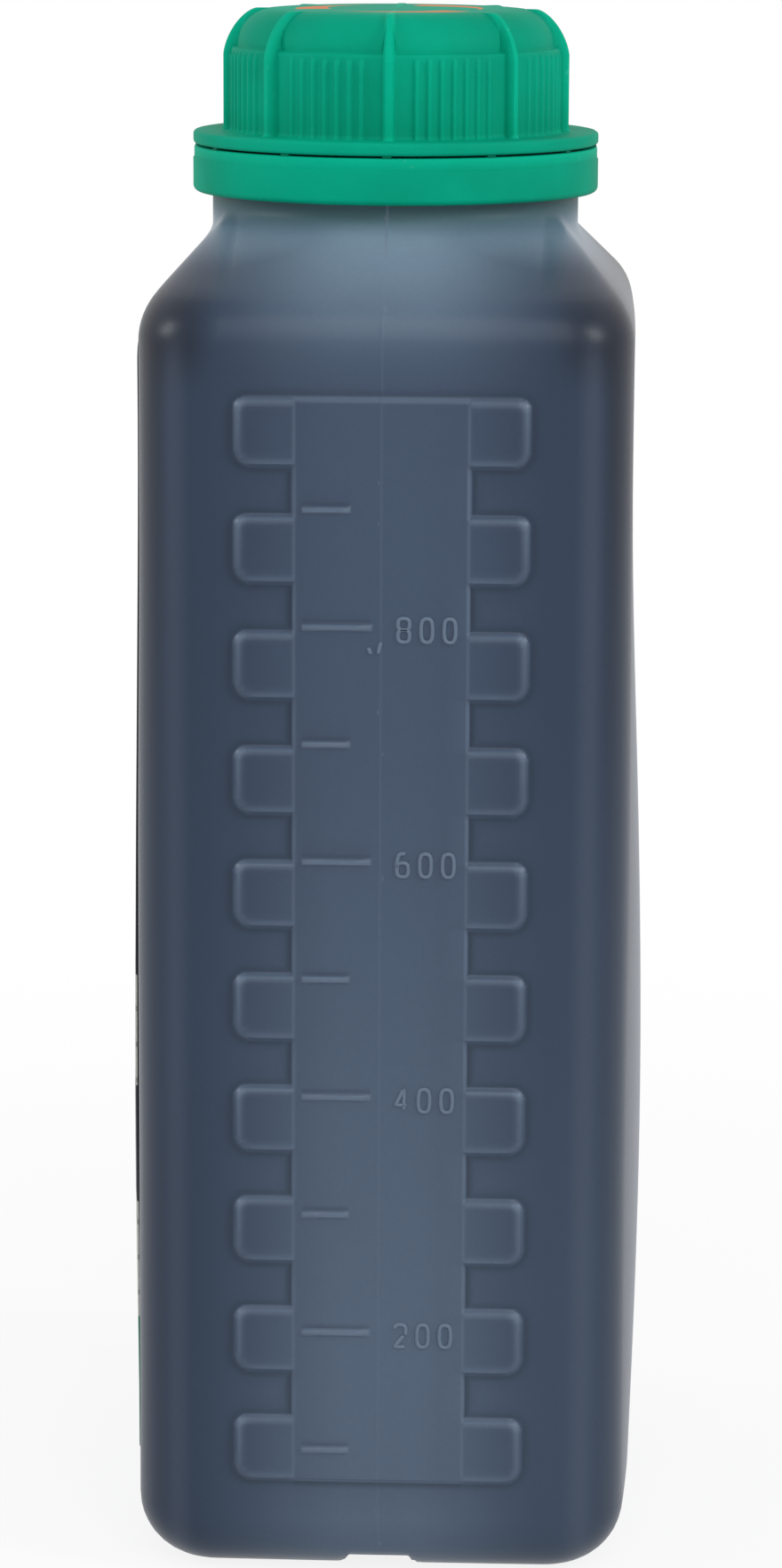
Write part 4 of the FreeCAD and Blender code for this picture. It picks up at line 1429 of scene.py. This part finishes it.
@dataclass(frozen=True)
class Numerals:
    """Plain raised figures drawn as strokes."""

    height: float = 3.4
    width: float = 1.65
    pitch: float = 3.3
    left: float = 2.45
    drop: float = 0.3
    stroke: float = 0.3
    rise: float = 0.3
    square: float = 0.7
    notch_middle: float = -0.9
    notch_drop: float = 3.9
    notch_spread: float = 0.95
    notch_foot: float = 0.45
    notch_heights: tuple[float, float] = (1.1, 2.0)

    OVAL_POINTS = 41

    def oval(self, middle: float, half_height: float, start: float = 0.0, end: float = 360.0) -> Array:
        """Part of a squarish oval: each of (w cos t, m + h sin t) is raised towards its sign by a power.

        Args:
            middle: height of its centre, as a share of the figure.
            half_height: half its height, as a share of the figure.
            start: first angle in degrees.
            end: last angle in degrees.

        Returns:
            Points in shares of the figure's width and height.
        """
        turn = np.radians(np.linspace(start, end, self.OVAL_POINTS))
        across = np.sign(np.cos(turn)) * np.abs(np.cos(turn)) ** self.square
        up = np.sign(np.sin(turn)) * np.abs(np.sin(turn)) ** self.square
        return np.stack([0.5 + 0.5 * across, middle + half_height * up], axis=1)

    def line(self, *corners: tuple[float, float]) -> Array:
        """Straight strokes through corners, eight steps to each.

        Args:
            corners: places, in shares of the figure.

        Returns:
            Points in the same shares.
        """
        places = np.array(corners)
        shares = np.linspace(0.0, len(corners) - 1.0, 8 * (len(corners) - 1) + 1)
        index = np.arange(len(corners))
        return np.stack([np.interp(shares, index, places[:, axis]) for axis in (0, 1)], axis=1)

    def strokes(self, figure: int) -> list[Array]:
        """Strokes of one figure.

        Args:
            figure: an even figure.

        Returns:
            Points of each stroke, in shares of the figure's width and height.
        """
        if figure == 0:
            return [self.oval(0.5, 0.5)]
        if figure == 2:
            return [self.oval(0.72, 0.28, 170.0, -35.0), self.line((0.9, 0.56), (0.0, 0.0), (1.0, 0.0))]
        if figure == 4:
            return [self.line((0.72, 0.0), (0.72, 1.0), (0.0, 0.3), (1.0, 0.3))]
        if figure == 6:
            return [self.oval(0.3, 0.3), self.oval(0.3, 0.7, 180.0, 70.0)]
        return [self.oval(0.26, 0.26), self.oval(0.755, 0.245)]

    def number(self, figures: Sequence[int], height: float, face: float) -> list[Array]:
        """Beads of a number beside a mark.

        Args:
            figures: its figures from left to right.
            height: the mark's height.
            face: the face's place along Y.

        Returns:
            One grid for each stroke.
        """
        grids = []
        for place, figure in enumerate(figures):
            for stroke in self.strokes(figure):
                across = self.left + place * self.pitch + stroke[:, 0] * self.width
                up = height - self.drop + (stroke[:, 1] - 0.5) * self.height
                grids.append(self.raised(across, up, face))
        return grids

    def notch(self, height: float, face: float) -> list[Array]:
        """Beads of the small open mark under the highest number: two short strokes.

        Args:
            height: the height of the mark above it.
            face: the face's place along Y.

        Returns:
            One grid for each stroke.
        """
        grids = []
        for side, tall in zip((-1.0, 1.0), self.notch_heights):
            stroke = self.line((self.notch_foot, 0.0), (self.notch_spread, tall))
            across = self.notch_middle + side * stroke[:, 0]
            grids.append(self.raised(across, height - self.notch_drop + stroke[:, 1], face))
        return grids

    def raised(self, across: Array, up: Array, face: float) -> Array:
        """Bead along a stroke on the face, pinched at both ends of an open stroke.

        Args:
            across: the stroke's places along X.
            up: its places along Z.
            face: the face's place along Y.

        Returns:
            Grid of points.
        """
        path = np.stack([across, np.full_like(across, face), up], axis=1)
        along = np.gradient(path, axis=0)
        swell = np.ones(len(path))
        if np.allclose(path[0], path[-1], atol=1e-3):
            along[[0, -1]] = path[1] - path[-2]
        else:
            swell[[0, -1]] = 0.0
            swell[[1, -2]] = 0.8
        along /= np.linalg.norm(along, axis=1, keepdims=True)
        out = np.broadcast_to(np.array([0.0, -1.0, 0.0]), path.shape)
        return bead(path, np.cross(along, out), out, self.stroke * swell, self.rise * swell)


# Closure

@dataclass(frozen=True)
class CapSizes:
    """Sizes of the screw cap."""

    flange_foot: float = 210.25
    flange_height: float = 1.9
    flange: float = 30.15
    flange_round: float = 0.55
    skirt: float = 24.4
    skirt_height: float = 12.3
    bore: float = 23.3
    shelf_step: float = 0.9
    shelf_round: float = 0.6
    dome: float = 5.2
    top: float = 230.0
    ceiling: float = 228.2
    seat: float = 21.4
    taper: float = 5.5
    rib: float = 25.7
    rib_width: float = 1.7
    rib_across: float = 5.0
    rib_up: float = 6.9
    rib_power: float = 1.25
    rib_count: int = 8
    rib_spread: float = 0.15
    rib_flank: float = 0.35
    fillet: tuple[float, float] = (0.35, 0.08)
    fillet_reach: float = 0.6
    inner_fillet: float = 0.25
    grip_fade: float = 0.6
    ridge_crest: float = 0.35
    ridge_rise: float = 0.38
    ridge_width: float = 1.1
    ridge_flank: float = 0.75
    ridge_pitch: float = math.radians(4.4)
    ridge_count: int = 7


@dataclass(frozen=True)
class Cap:
    """Ribbed screw cap with its inner thread."""

    sizes: CapSizes = CapSizes()

    CREASE = 50.0
    THREAD_CREST = 0.1
    RIB_PLACES = np.array([-1.3, -1.1, -0.95, -0.8, -0.4, 0.0, 0.4, 0.8, 0.95, 1.1, 1.3])
    RIDGE_PLACES = np.array([-1.15, -0.95, -0.7, -0.4, 0.0, 0.4, 0.7, 0.95, 1.15])
    FOOT_ROWS = np.array([0.0, 0.25, 0.7])
    EVEN_FROM = 2.0
    EVEN_SPARE = 1.2
    ROW_LIFT = 0.1
    ROW_SPREAD = 0.5
    TOP_RINGS = np.array([12.0, 6.0, 0.0])

    def angles(self) -> tuple[Array, Array, Array]:
        """Columns round the cap, close together at ribs and ridges; both shares are smooth steps.

        Returns:
            The angles, the share of a rib there, and the share of a grip ridge there.
        """
        sizes = self.sizes
        sector = 2 * math.pi / sizes.rib_count
        rib_places = self.RIB_PLACES / sizes.rib
        from_middle = np.arange(sizes.ridge_count) - (sizes.ridge_count - 1) / 2
        middle = sizes.ridge_pitch * from_middle + sector / 2
        half = sizes.ridge_width / 2
        ridge_places = self.RIDGE_PLACES * half / sizes.skirt
        local = np.sort(np.concatenate([rib_places, (middle[:, None] + ridge_places).ravel()]))
        start = np.arange(sizes.rib_count) * sector
        angles = (start[:, None] + local).ravel()
        from_rib = np.mod(angles + sector / 2, sector) - sector / 2
        reach = sizes.rib_width / 2 + sizes.rib_spread
        rib = smooth_step((reach - np.abs(from_rib) * sizes.rib) / sizes.rib_flank)
        from_ridge = np.min(np.abs(np.mod(angles, sector)[:, None] - middle), axis=1) * sizes.skirt
        ridge = smooth_step((half - from_ridge) / (sizes.ridge_flank * half))
        return angles, rib, ridge

    def outside(self) -> tuple[Array, Array, Array]:
        """Rows of the outer face above the flange, in two forms.

        The rib's crown is a quarter of a squarish oval: its radius falls by w (1 - cos a to a power)
        while its height rises by h (sin a to the same power).

        Returns:
            Plain profile, rib profile, and the share of the grip ridges on each row.
        """
        sizes = self.sizes
        foot = sizes.flange_foot + sizes.flange_height
        shelf = foot + sizes.skirt_height
        inside = sizes.skirt - sizes.shelf_step
        even = np.linspace(self.EVEN_FROM, sizes.skirt_height - self.EVEN_SPARE, 6)
        skirt = np.concatenate([self.FOOT_ROWS, even]) + foot
        fillet = np.zeros_like(skirt)
        fillet[:2] = sizes.fillet
        plain_skirt = np.stack([sizes.skirt + fillet, skirt], axis=1)
        rib_skirt = np.stack([sizes.rib + fillet, skirt], axis=1)
        crown = rounded([
            (sizes.skirt, foot, 0.0),
            (sizes.skirt, shelf, sizes.shelf_round),
            (inside, shelf, sizes.inner_fillet),
            (inside, sizes.top, sizes.dome),
            (0.0, sizes.top, 0.0),
        ], 9)[1:-1]
        rim = np.linspace(0.0, 1.0, len(crown))
        bend = sizes.top - sizes.rib_up
        sweep = rim * math.pi / 2
        rib_crown = np.stack([sizes.rib - sizes.rib_across * (1 - np.cos(sweep) ** sizes.rib_power),
                              bend + sizes.rib_up * np.sin(sweep) ** sizes.rib_power], axis=1)
        least = skirt[-1] + self.ROW_LIFT + self.ROW_SPREAD * rim
        rib_crown[:, 1] = np.maximum(rib_crown[:, 1], least)
        flat = np.stack([self.TOP_RINGS, np.full_like(self.TOP_RINGS, sizes.top)], axis=1)
        plain = np.concatenate([plain_skirt, crown, flat])
        rib = np.concatenate([rib_skirt, rib_crown, flat])
        grip = smooth_step((shelf - sizes.shelf_round - plain[:, 1]) / sizes.grip_fade)
        return plain, rib, grip

    def shell(self) -> tuple[Array, Array]:
        """Whole cap: bore and flange, then the outer face with ribs and ridges, up to the top's middle.

        A point of the outer face is (1 - m) plain + m rib, with m the share of a rib at its angle,
        and the ridges add to its radius. The inner face runs from the ceiling's middle to the flange.

        Returns:
            The grid, and how far each point is on a crest.
        """
        sizes = self.sizes
        angles, rib, ridge = self.angles()
        top = sizes.flange_foot + sizes.flange_height
        inner = rounded([
            (0.0, sizes.ceiling, 0.0),
            (sizes.seat, sizes.ceiling, 0.4),
            (sizes.bore, sizes.ceiling - sizes.taper, 1.0),
            (sizes.bore, sizes.flange_foot, 0.4),
            (sizes.flange, sizes.flange_foot, sizes.flange_round),
            (sizes.flange, top, sizes.flange_round),
            (sizes.rib + sizes.fillet_reach, top, 0.0),
        ], 4)
        plain, tall, grip = self.outside()
        crest = np.maximum(rib, sizes.ridge_crest * ridge * grip[:, None])
        ways = np.stack([np.cos(angles), np.sin(angles)], axis=1)
        radius = plain[:, :1] * (1 - rib) + tall[:, :1] * rib
        radius = radius + sizes.ridge_rise * ridge[None, :] * grip[:, None] * (1 - rib)
        height = plain[:, 1:] * (1 - rib) + tall[:, 1:] * rib
        outer = np.stack([radius * ways[:, 0], radius * ways[:, 1], height], axis=2)
        grid = np.concatenate([spun(inner, angles), outer])
        marks = np.concatenate([np.zeros((len(inner), len(angles))), crest])
        return grid, marks

    def thread(self) -> Array:
        """Inner thread, 1.8 mm under the neck's."""
        return helix(ThreadSizes(radius=self.sizes.bore, outward=-1.0, start=211.4, turns=1.5, rise=0.8))

    def build(self, plastic: bpy.types.Material) -> None:
        """Make the cap's pieces and dress them.

        Args:
            plastic: the finish.
        """
        grid, crest = self.shell()
        shell = grid_object("screw_cap_shell", [grid], {"crest": crest}, self.CREASE)
        dress(shell, plastic, Body.CAP, ["screw_cap"])
        thread = grid_object("cap_thread", [self.thread()], {"crest": self.THREAD_CREST})
        dress(thread, plastic, Body.CAP)


@dataclass(frozen=True)
class BandSizes:
    """Sizes of the tamper ring."""

    outside: float = 30.15
    inside: float = 28.65
    hook: float = 27.6
    foot: float = 203.2
    top: float = 209.95
    hook_height: float = 2.0
    foot_round: float = 0.9
    line_height: float = 4.9
    line_slope: float = 0.15
    line_step: float = 0.16
    crest_height: float = 1.4
    crest_fade: float = 0.5


@dataclass(frozen=True)
class TamperBand:
    """Ring that stays on the neck when the cap is opened."""

    sizes: BandSizes = BandSizes()

    COLUMNS = 240

    def shell(self) -> tuple[Array, Array]:
        """Ring: a rounded profile with its hook, turned round the Z axis.

        Returns:
            The grid, and how far each point is on the outer upper edge.
        """
        sizes = self.sizes
        hook_top = sizes.foot + sizes.hook_height
        middle = (sizes.inside + sizes.outside) / 2
        line = sizes.foot + sizes.line_height
        upper = sizes.outside - sizes.line_step
        profile = rounded([
            (middle, sizes.top, 0.0),
            (sizes.inside, sizes.top, 0.25),
            (sizes.inside, hook_top, 0.3),
            (sizes.hook, hook_top, 0.3),
            (sizes.hook, sizes.foot, 0.35),
            (sizes.outside, sizes.foot, sizes.foot_round),
            (sizes.outside, line, 0.0),
            (upper, line + sizes.line_slope, 0.0),
            (upper, sizes.top, 0.35),
            (middle, sizes.top, 0.0),
        ], 5)
        angles = np.linspace(0.0, 2 * math.pi, self.COLUMNS, endpoint=False)
        grid = spun(profile, angles)
        above = profile[:, 1] - sizes.top + sizes.crest_height
        crest = smooth_step(above / sizes.crest_fade) * (profile[:, 0] > middle)
        return grid, np.broadcast_to(crest[:, None], grid.shape[:2])

    def build(self, plastic: bpy.types.Material) -> None:
        """Make the ring and dress it.

        Args:
            plastic: the finish.
        """
        grid, crest = self.shell()
        shell = grid_object("tamper_band_shell", [grid], {"crest": crest})
        dress(shell, plastic, Body.BAND, ["tamper_ring"])


# Studio

@dataclass(frozen=True)
class Lamp:
    """One soft rectangular lamp that looks at the bottle."""

    name: str
    place: tuple[float, float, float]
    width: float
    tall: float
    power: float

    def build(self, target: Vector) -> None:
        """Hang the lamp and turn it to the target.

        Args:
            target: the place it looks at, in metres.
        """
        light = bpy.data.lights.new(self.name, "AREA")
        light.shape = "RECTANGLE"
        light.size = self.width
        light.size_y = self.tall
        light.energy = self.power
        thing = bpy.data.objects.new(self.name, light)
        bpy.context.scene.collection.objects.link(thing)
        thing.location = self.place
        thing.rotation_euler = (target - Vector(self.place)).to_track_quat("-Z", "Y").to_euler()


@dataclass(frozen=True)
class Studio:
    """Pale floor, white surroundings, soft lamps and the camera."""

    eye: tuple[float, float, float] = (30.754, -714.643, 258.081)
    yaw: float = 0.04339
    dip: float = 0.2004
    roll: float = -0.00463
    focus: float = 5367.84
    long_side: int = 1764
    sensor: float = 36.0
    nearest: float = 0.01
    ambient: float = 0.56
    floor_half: float = 3.0
    floor_colour: Colour = (0.88, 0.88, 0.88)
    shadow: float = 0.14
    shadow_radii: Span = (0.08, 0.4)
    target: tuple[float, float, float] = (0.0, 0.0, 0.11)
    lamps: tuple[Lamp, ...] = (
        Lamp("left", (-0.92, -0.12, 0.58), 0.22, 0.34, 2.3),
        Lamp("right", (0.82, -0.32, 0.6), 0.22, 0.34, 2.5),
        Lamp("front", (0.25, -1.0, 0.95), 0.9, 0.9, 5.5),
    )

    def camera(self) -> None:
        """Set the camera as the photograph's: its eye, its turns, and its focal length in pixels."""
        turn = Matrix.Rotation(self.yaw, 3, "Z")
        right = turn @ Vector((1, 0, 0))
        ahead = turn @ Vector((0, math.cos(self.dip), -math.sin(self.dip)))
        down = ahead.cross(right)
        level = math.cos(self.roll) * right + math.sin(self.roll) * down
        below = -math.sin(self.roll) * right + math.cos(self.roll) * down
        lens = bpy.data.cameras.new("view")
        lens.sensor_width = self.sensor
        lens.lens = self.focus / self.long_side * self.sensor
        lens.clip_start = self.nearest
        thing = bpy.data.objects.new("view", lens)
        bpy.context.scene.collection.objects.link(thing)
        pose = Matrix((level, -below, -ahead)).transposed().to_4x4()
        pose.translation = Vector(self.eye) * MM
        thing.matrix_world = pose
        bpy.context.scene.camera = thing

    def surroundings(self) -> None:
        """White to the camera, gloss and glass, and an even soft light to everything else."""
        graph = Graph(bpy.data.worlds.new("surroundings"))
        strength = self.ambient + (1.0 - self.ambient) * graph.seen()
        back = graph.add("ShaderNodeBackground", None, {"Color": WHITE, "Strength": strength})
        graph.add("ShaderNodeOutputWorld", None, {"Surface": back.outputs[0]})
        bpy.context.scene.world = graph.owner

    def floor(self) -> None:
        """Plain pale floor that keeps a soft shadow."""
        half = self.floor_half
        corners = [(-half, -half, 0.0), (half, -half, 0.0), (half, half, 0.0), (-half, half, 0.0)]
        mesh = bpy.data.meshes.new("floor")
        mesh.from_pydata(corners, [], [(0, 1, 2, 3)])
        thing = bpy.data.objects.new("floor", mesh)
        bpy.context.scene.collection.objects.link(thing)
        graph = Graph(bpy.data.materials.new("floor_paper"))
        matt = graph.add("ShaderNodeBsdfDiffuse", None, {"Color": self.floor_colour})
        glow = graph.add("ShaderNodeEmission", None, {"Color": WHITE})
        x, y, _ = graph.axes()
        away = x.length_with(y).rise(*self.shadow_radii)
        share = graph.seen() * (1.0 - self.shadow + self.shadow * away)
        both = graph.add("ShaderNodeMixShader", None, {0: share, 1: matt.outputs[0], 2: glow.outputs[0]})
        graph.add("ShaderNodeOutputMaterial", None, {"Surface": both.outputs[0]})
        mesh.materials.append(graph.owner)

    def build(self) -> None:
        """Set up the whole studio."""
        bpy.context.scene.view_settings.view_transform = "Standard"
        self.camera()
        self.surroundings()
        self.floor()
        for lamp in self.lamps:
            lamp.build(Vector(self.target))


def main() -> None:
    """Build the pieces in order, then the studio."""
    logging.basicConfig(level=logging.INFO)
    plastic = CapPlastic().material()
    Bottle().build(BlownWall().material())
    Cap().build(plastic)
    TamperBand().build(plastic)
    # painted shade: the tamper bridges get a darker green, as they sit in shadow inside the ring
    shaded = CapPlastic(body=srgb(0, 104, 82), deep=srgb(0, 88, 69))
    paint_node("tamper_bridges", shaded.material())
    paint_node("cap_liner", LinerFoam().material())
    paint_node("side_label", LabelFilm().material())
    paint_node("oil_fill", DarkOil().material())
    Studio().build()


if __name__ == "__main__":
    main()
